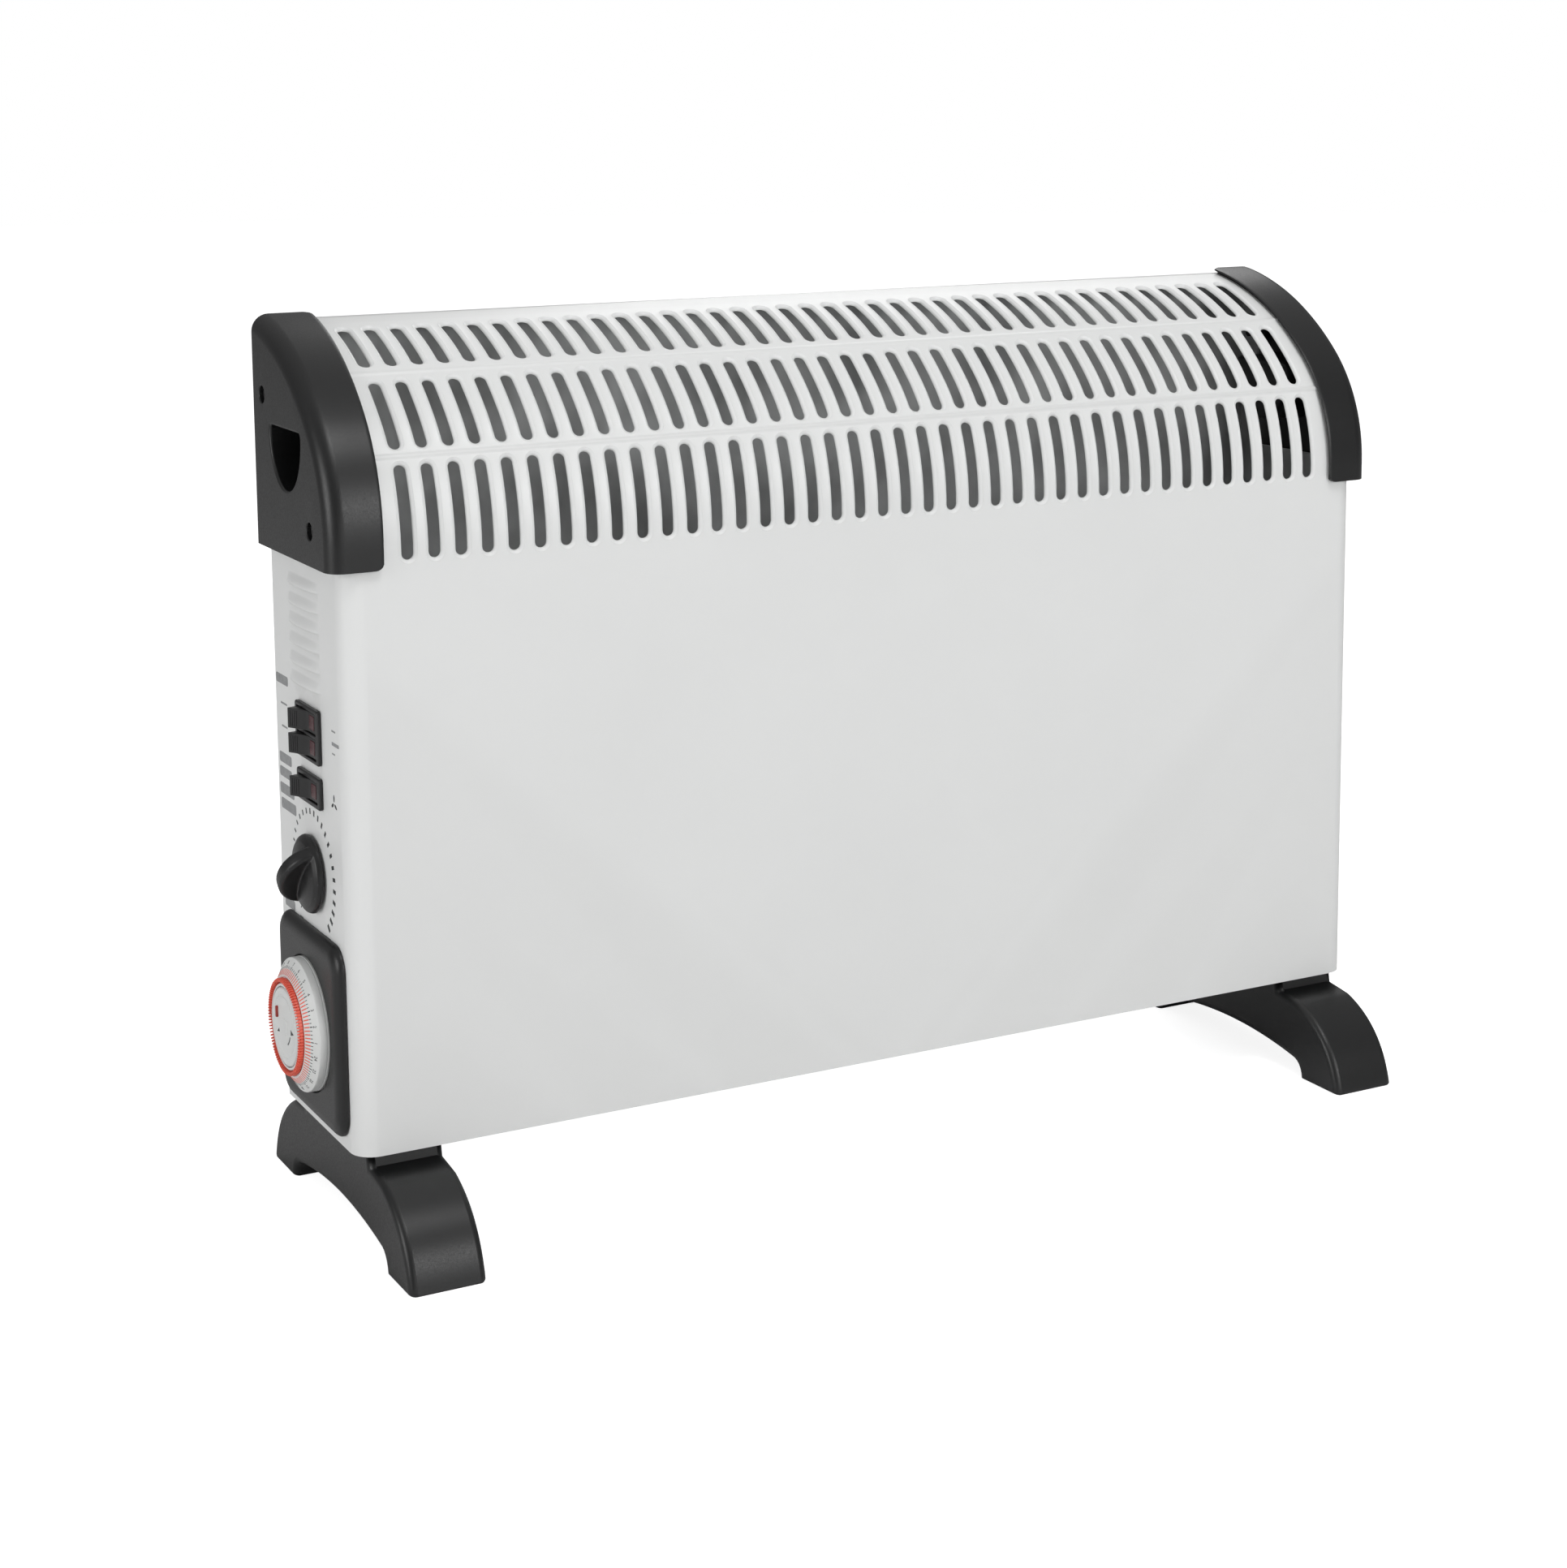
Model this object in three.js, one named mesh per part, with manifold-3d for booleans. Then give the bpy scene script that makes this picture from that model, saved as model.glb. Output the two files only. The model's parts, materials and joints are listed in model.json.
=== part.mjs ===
// Fan convector heater: a free-standing 2 kW room heater with a bent steel casing, moulded end caps and feet,
// two heating elements, a booster fan, and a control end with rocker switches, a thermostat and a 24 h timer.
//
// Body frame used below: X runs across the front, Y from the front face (0) to the back, and Z up from the
// casing's lower edge. The exported group puts the origin under the middle of the whole heater, on the floor.
import * as THREE from "three";
import { mergeVertices } from "three/addons/utils/BufferGeometryUtils.js";
import Module from "manifold-3d";

const wasm = await Module();
wasm.setup();

// ---------------------------------------------------------------- driving dimensions, millimetres and degrees
const BODY_WIDTH = 549;
const BODY_DEPTH = 96;
const FLOOR = -47.5;
const SHEET = 0.8;
const GAP = 0.3;

// The front leaves the vertical at BEND_START and runs back over two tangent arcs.
const BEND_START = 272;
const FRONT_BEND = { radius: 77, angle: 45 };
const TOP_BEND = { radius: 137, angle: 35.4 };
const FRONT_EDGE_RADIUS = 11;
const SIDE_WALL_TOP = 288;

// Outlet grille: three rows of slots, given by arc length up from BEND_START.
const SLOT_COUNT = 40;
const SLOT_PITCH = 12.5;
const SLOT_WIDTH = 5.5;
const SLOT_ROWS = [
  { from: -6.3, to: 36 },
  { from: 43.5, to: 81.5 },
  { from: 92, to: 126.7 },
];

const CAP = { inner: 255.5, outer: 280.5, bottom: 262.5, thickness: 3, wall: 2.8, edgeRadius: 8 };
const GRIP = { from: 32, to: 74, top: 319.5, bottom: 292, depth: 26, wall: 2 };
const CAP_SCREWS = [
  { name: "lower", y: 23, z: 278, seat: 274.5 + GAP },
  { name: "upper", y: 84, z: 332, seat: 273.1 },
];

const SCREW_RECESS = 4;

const FOOT = { centre: 250.75, width: 35.5, toe: 46.4, toeLength: 31.4, seatTop: 0.5, screwSeat: -20 };
const FOOT_SCREWS = [28, 68];

const BACK = { outside: 94.5, halfWidth: 272.8, flange: 14, bottom: 0.6, top: 362 };
const BACK_SCREWS = { xs: [-250, -85, 85, 250], z: 8 };
const BACK_INLETS = { count: 20, pitch: 17, length: 34, width: 7, z: 62 };
const BASE = { bottom: 0.8, front: 1.6, back: 92.8, halfWidth: 271, flange: 14 };
const BASE_INLETS = { columns: 12, pitch: 33, ys: [29, 65], width: 16, depth: 24 };
const GLAND = { x: -190, z: 34, hole: 7, bore: 3.9 };

// Control end, on the outside of the left wall: distances from the front edge and up from the lower edge.
const LOUVRES = { count: 6, pitch: 8.95, first: 253.5, from: 31, to: 73, height: 5, proud: 2.6 };
const HEAT_SWITCH = { fromFront: 48, up: 183.3, width: 31, height: 25, rockers: [5.7, -5.7] };
const FAN_SWITCH = { fromFront: 48, up: 157.8, width: 31, height: 14.4, rockers: [0] };
const ROCKER = { halfLength: 11.6, height: 9.2, tilt: 14.5, pivotDepth: 1 };
const POCKET = { halfLength: 13, height: 10, depth: 9 };
const KNOB = { fromFront: 49.6, up: 118.3, radius: 18, baseTop: 7.5, finTop: 17, finAngle: 39 };
const TIMER = { fromFront: 50.75, up: 49, width: 82.5, height: 88, corner: 10, face: 5, bodySize: 58 };
const DIAL = { fromFront: 51, up: 48.5, radius: 30.5, bore: 5, rim: 9, top: 13.6, shoulder: 23.2 };
const PIN_RING = { count: 96, inner: 18.6, outer: 22.4, bottom: 13.9, top: 16.2 };
const TIMER_CENTRE = { radius: 18, bottom: 13.9, top: 15.6 };

// Inside.
const SHIELD = { y: 9.5, halfWidth: 224, bottom: 24, top: 252 };
const ELEMENT = { z: 128, ys: [31, 65], halfLength: 200, rodEnd: 223, wing: 21, web: 1.6, core: 6 };
const BRACKET = { x: 212, from: 14, to: 82, top: 160, hole: 6.5, plate: 1, flange: 12 };
const CUTOUT = { y: 48, z: 148 };
const FAN = { x: 112, y: 48, hub: 9, tip: 32, blades: 5, bladeAngle: 28, bottom: 45, top: 57, ring: 34.5 };
const MOTOR = { bottom: 18.6, top: 34.6, bore: 3.2 };
const TERMINALS = { x: -145, halfWidth: 20, front: 74, bottom: 24, top: 40, screws: [-12, 0, 12] };
const SPADE = { halfWidth: 2.4, halfThickness: 0.4 };

const rad = THREE.MathUtils.degToRad;
const HALF_WIDTH = BODY_WIDTH / 2;

// ---------------------------------------------------------------- solids
// A closed geometry as a manifold-3d solid, its shared vertices merged and its empty triangles dropped.
function toSolid(geometry) {
  const bare = new THREE.BufferGeometry();
  bare.setAttribute("position", geometry.getAttribute("position").clone());
  if (geometry.index) bare.setIndex(geometry.index.clone());
  const merged = mergeVertices(bare, 1e-4);
  const index = merged.index.array;
  const kept = [];
  for (let i = 0; i < index.length; i += 3) {
    const [a, b, c] = [index[i], index[i + 1], index[i + 2]];
    if (a !== b && b !== c && c !== a) kept.push(a, b, c);
  }
  const vertProperties = merged.attributes.position.array;
  return new wasm.Manifold(new wasm.Mesh({ numProp: 3, vertProperties, triVerts: new Uint32Array(kept) }));
}

function toGeometry(solid) {
  const mesh = solid.getMesh();
  const geometry = new THREE.BufferGeometry();
  geometry.setAttribute("position", new THREE.BufferAttribute(mesh.vertProperties, 3));
  geometry.setIndex(new THREE.BufferAttribute(mesh.triVerts, 1));
  geometry.computeVertexNormals();
  return geometry;
}

const combine = (operation, first, others) =>
  toGeometry(others.reduce((solid, other) => solid[operation](toSolid(other)), toSolid(first)));
const join = (first, ...others) => combine("add", first, others);
const cut = (first, ...others) => combine("subtract", first, others);
const overlap = (first, ...others) => combine("intersect", first, others);

// ---------------------------------------------------------------- shapes
const box = (x0, x1, y0, y1, z0, z1) =>
  new THREE.BoxGeometry(x1 - x0, y1 - y0, z1 - z0).translate((x0 + x1) / 2, (y0 + y1) / 2, (z0 + z1) / 2);

const polygon = (points) => new THREE.Shape(points.map(([x, y]) => new THREE.Vector2(x, y)));

function roundedRectangle(width, height, radius) {
  const [x, y, r] = [width / 2, height / 2, radius];
  const shape = new THREE.Shape();
  shape.moveTo(x - r, -y).absarc(x - r, r - y, r, rad(-90), 0, false);
  shape.absarc(x - r, y - r, r, 0, rad(90), false);
  shape.absarc(r - x, y - r, r, rad(90), rad(180), false);
  shape.absarc(r - x, r - y, r, rad(180), rad(270), false);
  return shape;
}

function stadium(length, width, endSteps) {
  const r = width / 2;
  const points = [];
  for (const end of [1, -1])
    for (let i = 0; i <= endSteps; i++) {
      const turn = rad((180 * i) / endSteps);
      points.push([end * r * Math.cos(turn), end * (length / 2 - r + r * Math.sin(turn))]);
    }
  return polygon(points);
}

// Extrudes a shape along Z, from z0 to z1.
const slab = (shape, z0, z1, curveSegments = 2) =>
  new THREE.ExtrudeGeometry(shape, { depth: z1 - z0, bevelEnabled: false, curveSegments }).translate(0, 0, z0);

// Extrudes a shape drawn in the Y-Z plane along X, from x0 to x1.
const ALONG_X = new THREE.Matrix4().makeBasis(
  new THREE.Vector3(0, 1, 0),
  new THREE.Vector3(0, 0, 1),
  new THREE.Vector3(1, 0, 0),
);
const barAlongX = (shape, x0, x1, curveSegments = 2) =>
  slab(shape, x0, x1, curveSegments).applyMatrix4(ALONG_X);

// A solid of revolution about Z: its profile is a list of [radius, height].
const turned = (profile, segments = 24) =>
  new THREE.LatheGeometry(
    profile.map(([r, z]) => new THREE.Vector2(r, z)),
    segments,
  ).rotateX(rad(90));

const rod = (radius, z0, z1, segments = 16) =>
  turned([[0, z0], [radius, z0], [radius, z1], [0, z1]], segments);

const tube = (inner, outer, z0, z1, segments = 24) =>
  turned([[inner, z0], [outer, z0], [outer, z1], [inner, z1], [inner, z0]], segments);

// ---------------------------------------------------------------- materials and nodes
const finish = (color, roughness, metalness) => () =>
  new THREE.MeshStandardMaterial({ color, roughness, metalness });
const whitePaint = finish("#dcdfe0", 0.45, 0);
const charcoal = finish("#34373a", 0.6, 0);
const blackPlastic = finish("#1c1d1f", 0.45, 0);
const zinc = finish("#a9adb0", 0.45, 0.8);
const platedSteel = finish("#c9ccce", 0.3, 0.9);
const aluminium = finish("#c4c7c9", 0.4, 0.9);
const ceramic = finish("#ebe6da", 0.5, 0);
const dialWhite = finish("#eef0ef", 0.4, 0);
const pinRed = finish("#e8402e", 0.4, 0);
const copper = finish("#a5592c", 0.4, 0.7);
const moulding = finish("#e4e2da", 0.5, 0);

const heater = new THREE.Group();

function place(name, geometry, material, parent = heater, x = 0, y = 0, z = 0) {
  const mesh = new THREE.Mesh(toGeometry(toSolid(geometry)), material());
  mesh.name = name;
  mesh.position.set(x, y, z);
  parent.add(mesh);
  return mesh;
}

// ---------------------------------------------------------------- casing
const bendCentre = new THREE.Vector2(FRONT_BEND.radius, BEND_START);
const topCentre = bendCentre
  .clone()
  .addScaledVector(
    new THREE.Vector2(Math.cos(rad(FRONT_BEND.angle)), -Math.sin(rad(FRONT_BEND.angle))),
    TOP_BEND.radius - FRONT_BEND.radius,
  );

// The side outline of the body in the Y-Z plane, grown outwards by offset.
function bodyOutline(offset, bottom, back) {
  const shape = new THREE.Shape();
  const middle = rad(180 - FRONT_BEND.angle);
  const last = middle - rad(TOP_BEND.angle);
  const top = topCentre.y + (TOP_BEND.radius + offset) * Math.sin(last);
  shape.moveTo(-offset, bottom).lineTo(-offset, BEND_START);
  shape.absarc(bendCentre.x, bendCentre.y, FRONT_BEND.radius + offset, Math.PI, middle, true);
  shape.absarc(topCentre.x, topCentre.y, TOP_BEND.radius + offset, middle, last, true);
  shape.lineTo(back, top);
  shape.lineTo(back, bottom);
  return shape;
}

// The point of the casing's outer skin at an arc length above BEND_START.
function skinPoint(length) {
  if (length < 0) return new THREE.Vector2(0, BEND_START + length);
  const frontArc = FRONT_BEND.radius * rad(FRONT_BEND.angle);
  const onFront = length < frontArc;
  const [centre, radius] = onFront ? [bendCentre, FRONT_BEND.radius] : [topCentre, TOP_BEND.radius];
  const turn = onFront ? length / radius : rad(FRONT_BEND.angle) + (length - frontArc) / radius;
  return new THREE.Vector2(centre.x - radius * Math.cos(turn), centre.y + radius * Math.sin(turn));
}

// The body's plan with its two rounded front edges, as a tall block.
function planBlock(halfWidth, front, back, radius, bottom, top) {
  const shape = new THREE.Shape();
  shape.moveTo(-halfWidth, back).lineTo(-halfWidth, front + radius);
  shape.absarc(radius - halfWidth, front + radius, radius, rad(180), rad(270), false);
  shape.absarc(halfWidth - radius, front + radius, radius, rad(270), rad(360), false);
  shape.lineTo(halfWidth, back);
  return slab(shape, bottom, top, 2);
}

function slotCutters({ from, to }) {
  const [low, high] = [skinPoint(from), skinPoint(to)];
  const run = high.clone().sub(low);
  const middle = low.clone().add(high).multiplyScalar(0.5);
  const up = new THREE.Vector3(0, run.x, run.y).normalize();
  const across = new THREE.Vector3(1, 0, 0);
  const turn = new THREE.Matrix4().makeBasis(across, up, across.clone().cross(up));
  const cutter = slab(stadium(run.length(), SLOT_WIDTH, 2), -10, 12).applyMatrix4(turn);
  return Array.from({ length: SLOT_COUNT }, (_, i) =>
    cutter.clone().translate((i - (SLOT_COUNT - 1) / 2) * SLOT_PITCH, middle.x, middle.y),
  );
}

// The control end's own frame: x towards the front, y up and z straight out of the left wall.
const controls = new THREE.Group();
controls.position.set(-HALF_WIDTH, 0, 0);
controls.setRotationFromMatrix(
  new THREE.Matrix4().makeBasis(
    new THREE.Vector3(0, -1, 0),
    new THREE.Vector3(0, 0, 1),
    new THREE.Vector3(-1, 0, 0),
  ),
);
heater.add(controls);
controls.updateMatrix();

const onControlEnd = (geometry, fromFront, up) =>
  geometry.translate(-fromFront, up, 0).applyMatrix4(controls.matrix);

function louvre(index) {
  const top = LOUVRES.first - index * LOUVRES.pitch;
  const middle = (LOUVRES.from + LOUVRES.to) / 2;
  const half = (LOUVRES.to - LOUVRES.from) / 2;
  const hood = polygon([
    [0.4, top],
    [-LOUVRES.proud, top - LOUVRES.height],
    [SHEET - LOUVRES.proud, top - LOUVRES.height],
    [SHEET, top - 0.8],
  ]);
  return {
    hood: slab(hood, -half, half)
      .rotateX(rad(90))
      .applyMatrix4(new THREE.Matrix4().makeTranslation(-HALF_WIDTH, middle, 0)),
    opening: onControlEnd(
      new THREE.BoxGeometry(2 * half - 2, LOUVRES.height - 1.4, 8),
      middle,
      top - (LOUVRES.height + 1.4) / 2,
    ),
  };
}

// The clearance holes of one pair of cap screws, right through the heater.
const capScrewHole = ({ y, z }) => rod(2.3, -300, 300, 8).rotateY(rad(90)).translate(0, y, z);

const switchBody = ({ width, height }) => ({ width: width - 3, height: height - 1.6 });

function casing() {
  const outside = overlap(
    barAlongX(bodyOutline(0, 0, 130), -HALF_WIDTH, HALF_WIDTH),
    planBlock(HALF_WIDTH, 0, BODY_DEPTH, FRONT_EDGE_RADIUS, -5, 400),
  );
  const inside = overlap(
    barAlongX(bodyOutline(-SHEET, -5, 130), SHEET - HALF_WIDTH, HALF_WIDTH - SHEET),
    planBlock(HALF_WIDTH - SHEET, SHEET, 130, FRONT_EDGE_RADIUS - SHEET, -10, 400),
  );
  const aboveWalls = [-1, 1].map((side) =>
    box(0, 10, -5, 130, SIDE_WALL_TOP, 400).translate(side < 0 ? -HALF_WIDTH - 2 : HALF_WIDTH - 8, 0, 0),
  );
  const switches = [HEAT_SWITCH, FAN_SWITCH].map((unit) => {
    const { width, height } = switchBody(unit);
    return onControlEnd(new THREE.BoxGeometry(width + 2 * GAP, height + 2 * GAP, 8), unit.fromFront, unit.up);
  });
  const spindle = onControlEnd(rod(5.6, -4, 4), KNOB.fromFront, KNOB.up);
  const timer = onControlEnd(
    new THREE.BoxGeometry(TIMER.bodySize + 1, TIMER.bodySize + 1, 8),
    DIAL.fromFront,
    DIAL.up,
  );
  const louvres = Array.from({ length: LOUVRES.count }, (_, i) => louvre(i));
  const shell = cut(
    outside,
    inside,
    ...aboveWalls,
    ...switches,
    spindle,
    timer,
    capScrewHole(CAP_SCREWS[0]),
    ...louvres.map((each) => each.opening),
    ...SLOT_ROWS.flatMap(slotCutters),
  );
  return join(shell, ...louvres.map((each) => each.hood));
}

place("casing", casing(), whitePaint);

// ---------------------------------------------------------------- base, back panel and feet
const backHole = (x, y) => rod(2.2, -5, 5, 8).rotateX(rad(90)).translate(x, y, BACK_SCREWS.z);

function basePanel() {
  const { bottom, front, back, halfWidth, flange } = BASE;
  const tray = polygon([
    [front, bottom],
    [back, bottom],
    [back, bottom + flange],
    [back - SHEET, bottom + flange],
    [back - SHEET, bottom + SHEET],
    [front + SHEET, bottom + SHEET],
    [front + SHEET, bottom + flange],
    [front, bottom + flange],
  ]);
  const { columns, pitch, ys, width, depth } = BASE_INLETS;
  const inlets = Array.from({ length: columns }, (_, i) => (i - (columns - 1) / 2) * pitch).flatMap((x) =>
    ys.map((y) => box(-width / 2, width / 2, -depth / 2, depth / 2, -2, 6).translate(x, y, 0)),
  );
  const corners = [-1, 1].map((side) =>
    box(-14, 14, -14, 14, -2, 30).rotateZ(rad(45)).translate(side * (halfWidth + 6), front - 6, 0),
  );
  const footHoles = [-1, 1].flatMap((side) =>
    FOOT_SCREWS.map((y) => rod(2.4, -2, 6, 8).translate(side * FOOT.centre, y, 0)),
  );
  const backHoles = BACK_SCREWS.xs.map((x) => backHole(x, back));
  return cut(barAlongX(tray, -halfWidth, halfWidth), ...inlets, ...corners, ...footHoles, ...backHoles);
}

place("base_panel", basePanel(), zinc);

function backPanel() {
  const { outside, halfWidth, flange, bottom, top } = BACK;
  const plan = polygon([
    [-halfWidth, outside - flange],
    [SHEET - halfWidth, outside - flange],
    [SHEET - halfWidth, outside - SHEET],
    [halfWidth - SHEET, outside - SHEET],
    [halfWidth - SHEET, outside - flange],
    [halfWidth, outside - flange],
    [halfWidth, outside],
    [-halfWidth, outside],
  ]);
  const topRoom = barAlongX(bodyOutline(-SHEET - GAP, -5, 130), -halfWidth, halfWidth);
  const { count, pitch, length, width, z } = BACK_INLETS;
  const inlets = Array.from({ length: count }, (_, i) =>
    slab(stadium(length, width, 2), -10, 10)
      .rotateX(rad(90))
      .translate((i - (count - 1) / 2) * pitch, outside, z),
  );
  const screwHoles = BACK_SCREWS.xs.map((x) => backHole(x, outside));
  const gland = rod(GLAND.hole, -5, 5).rotateX(rad(90)).translate(GLAND.x, outside, GLAND.z);
  const sheet = overlap(slab(plan, bottom, top), topRoom);
  return cut(sheet, ...inlets, capScrewHole(CAP_SCREWS[1]), ...screwHoles, gland);
}

place("back_panel", backPanel(), whitePaint);

// A pan-head screw that points along -Z, with its head standing on z = 0.
const screw = (head, shank, length) =>
  turned([[0, -length], [shank, -length], [shank, 0], [head, 0], [head, 1.2], [head * 0.6, 2.2], [0, 2.2]], 8);

for (const [i, x] of BACK_SCREWS.xs.entries()) {
  const head = BACK.outside + GAP;
  const mesh = place(`back_screw_${i + 1}`, screw(3.6, 1.7, 7), platedSteel, heater, x, head, BACK_SCREWS.z);
  mesh.rotation.x = rad(-90);
}

// One foot spans the depth of the heater, with a toe at each end and an arch between them. The points below are
// [distance from the foot's middle, height].
function foot() {
  const middle = BODY_DEPTH / 2;
  const tip = [middle + FOOT.toe, FLOOR];
  const brow = [tip[0] - 6.5, -17.7];
  const crest = [tip[0] - 34.8, -7.8];
  const bend = [tip[0] - 44, -6.5];
  const neck = [tip[0] - 50, -5.8];
  const seat = [tip[0] - 51.2, FOOT.seatTop];
  const heel = [tip[0] - FOOT.toeLength, FLOOR];
  const heelTop = [heel[0] - 1, -39.5];
  const archEnd = [heel[0] - 8, -38.7];
  const archTop = [0, -28];
  const front = ([x, z]) => [middle - x, z];
  const back = ([x, z]) => [middle + x, z];
  const shape = new THREE.Shape();
  shape.moveTo(...back(heel)).lineTo(...back(tip));
  shape.quadraticCurveTo(...back(brow), ...back(crest)).quadraticCurveTo(...back(bend), ...back(neck));
  shape.lineTo(...back(seat)).lineTo(...front(seat)).lineTo(...front(neck));
  shape.quadraticCurveTo(...front(bend), ...front(crest)).quadraticCurveTo(...front(brow), ...front(tip));
  shape.lineTo(...front(heel));
  shape.quadraticCurveTo(...front(heelTop), ...front(archEnd));
  shape.quadraticCurveTo(...front(archTop), ...back(archEnd));
  shape.quadraticCurveTo(...back(heelTop), ...back(heel));
  const solid = barAlongX(shape, -FOOT.width / 2, FOOT.width / 2, 4);
  const holes = FOOT_SCREWS.flatMap((y) => [
    rod(2.4, -60, 10, 8).translate(0, y, 0),
    rod(5.5, -60, FOOT.screwSeat, 12).translate(0, y, 0),
  ]);
  return cut(solid, ...holes);
}

for (const [side, sign] of [["left", -1], ["right", 1]]) {
  place(`${side}_foot`, foot(), charcoal, heater, sign * FOOT.centre);
  for (const [i, y] of FOOT_SCREWS.entries()) {
    const name = `${side}_foot_screw_${i === 0 ? "front" : "back"}`;
    const head = FOOT.screwSeat - GAP;
    const mesh = place(name, screw(4.4, 1.9, 28), platedSteel, heater, sign * FOOT.centre, y, head);
    mesh.rotation.x = rad(180);
  }
}

// ---------------------------------------------------------------- end caps
function gripOutline(growth) {
  const middle = (GRIP.from + GRIP.to) / 2;
  const [halfWidth, drop] = [(GRIP.to - GRIP.from) / 2 + growth, GRIP.top - GRIP.bottom + growth];
  const shape = new THREE.Shape();
  shape.moveTo(middle + halfWidth, GRIP.top + growth);
  shape.lineTo(middle - halfWidth, GRIP.top + growth);
  shape.absellipse(middle, GRIP.top, halfWidth, drop, rad(180), rad(360), false);
  return shape;
}

// The right cap: the left one is its mirror image.
function endCap() {
  const { inner, outer, bottom, thickness, wall, edgeRadius } = CAP;
  const bevel = {
    depth: outer - inner,
    bevelThickness: edgeRadius,
    bevelSize: edgeRadius,
    bevelOffset: -edgeRadius,
    bevelSegments: 3,
    curveSegments: 4,
  };
  const rounded = new THREE.ExtrudeGeometry(bodyOutline(thickness, bottom - 30, 130), bevel)
    .translate(0, 0, inner - edgeRadius)
    .applyMatrix4(ALONG_X);
  const body = overlap(rounded, box(inner, outer, -10, BODY_DEPTH, bottom, 400));
  const hollow = overlap(
    barAlongX(bodyOutline(GAP, bottom - 20, 130), inner - 10, outer - wall, 4),
    planBlock(outer - wall, -GAP, 130, FRONT_EDGE_RADIUS - 3, bottom - 20, 400),
  );
  const cup = barAlongX(gripOutline(GRIP.wall), outer - GRIP.depth - GRIP.wall, outer - wall / 2, 5);
  const grip = barAlongX(gripOutline(0), outer - GRIP.depth, outer + 5, 5);
  const bosses = CAP_SCREWS.map(({ y, z, seat }) =>
    rod(5.4, seat, outer - 1, 12).rotateY(rad(90)).translate(0, y, z),
  );
  const holes = CAP_SCREWS.flatMap(({ y, z }) => [
    rod(2.3, inner, outer + 5, 10).rotateY(rad(90)).translate(0, y, z),
    rod(4, outer - SCREW_RECESS, outer + 5, 12).rotateY(rad(90)).translate(0, y, z),
  ]);
  return cut(join(cut(body, hollow), cup, ...bosses), grip, ...holes);
}

const rightEnd = new THREE.Group();
const leftEnd = new THREE.Group();
leftEnd.scale.x = -1;
heater.add(leftEnd, rightEnd);
for (const [side, end] of [["left", leftEnd], ["right", rightEnd]]) {
  place(`${side}_end_cap`, endCap(), charcoal, end);
  for (const { name, y, z } of CAP_SCREWS) {
    const head = CAP.outer - SCREW_RECESS + GAP;
    const mesh = place(`${side}_cap_screw_${name}`, screw(3.5, 1.7, 10), platedSteel, end, head, y, z);
    mesh.rotation.y = rad(90);
  }
}

// ---------------------------------------------------------------- rocker switches
// A spade terminal that points along -Z from z1 down to z0.
const spade = (x, z0, z1) =>
  box(x - SPADE.halfWidth, x + SPADE.halfWidth, -SPADE.halfThickness, SPADE.halfThickness, z0, z1);

function switchHousing(unit) {
  const { width, height } = switchBody(unit);
  const bezel = new THREE.ExtrudeGeometry(roundedRectangle(unit.width, unit.height, 1.2), {
    depth: 1,
    bevelThickness: 0.8,
    bevelSize: 0.8,
    bevelOffset: -0.8,
    bevelSegments: 1,
    curveSegments: 1,
  }).translate(0, 0, GAP);
  const trimmed = overlap(bezel, box(-50, 50, -50, 50, GAP, 10));
  const body = box(-width / 2, width / 2, -height / 2, height / 2, -20, 1);
  const pockets = unit.rockers.map((y) =>
    box(-POCKET.halfLength, POCKET.halfLength, y - POCKET.height / 2, y + POCKET.height / 2, -POCKET.depth, 10),
  );
  const tabs = [-9, 0, 9].map((x) => spade(x, -27, -19));
  return cut(join(trimmed, body, ...tabs), ...pockets);
}

// A rocker at the middle of its travel, its pivot on the Y axis.
function rocker() {
  const { halfLength, height, pivotDepth } = ROCKER;
  const side = polygon([
    [-halfLength, 4.5 + pivotDepth],
    [-halfLength, 2],
    [-3, -5],
    [3, -5],
    [halfLength, 2],
    [halfLength, 4.5 + pivotDepth],
    [0, 1.8 + pivotDepth],
  ]);
  return slab(side, -height / 2, height / 2).rotateX(rad(90));
}

function placeSwitch(housingName, unit, rockerNames) {
  place(housingName, switchHousing(unit), blackPlastic, controls, -unit.fromFront, unit.up);
  for (const [i, name] of rockerNames.entries()) {
    const y = unit.up + unit.rockers[i];
    const mesh = place(name, rocker(), blackPlastic, controls, -unit.fromFront, y, -ROCKER.pivotDepth);
    mesh.rotation.y = rad(ROCKER.tilt);
  }
}

placeSwitch("heat_switch_housing", HEAT_SWITCH, ["upper_heat_rocker", "lower_heat_rocker"]);
placeSwitch("fan_switch_housing", FAN_SWITCH, ["fan_rocker"]);

// ---------------------------------------------------------------- thermostat
function thermostatKnob() {
  const { radius, baseTop, finTop } = KNOB;
  const base = turned([
    [0, 0.8],
    [radius, 0.8],
    [radius, 2.6],
    [radius * 0.93, 4.6],
    [radius * 0.7, baseTop - 1],
    [0, baseTop],
  ]);
  const arch = new THREE.Shape();
  arch.moveTo(radius - 0.6, 2);
  arch.absellipse(0, 2, radius - 0.6, finTop - 2, 0, rad(180), false);
  const bevel = {
    depth: 4,
    bevelThickness: 1.5,
    bevelSize: 1.5,
    bevelOffset: -1.5,
    bevelSegments: 1,
    curveSegments: 6,
  };
  const fin = new THREE.ExtrudeGeometry(arch, bevel).translate(0, 0, -2).rotateX(rad(90)).rotateZ(rad(90));
  const socket = rod(3.3, 0, 6, 12);
  return cut(join(base, fin), socket);
}

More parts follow.
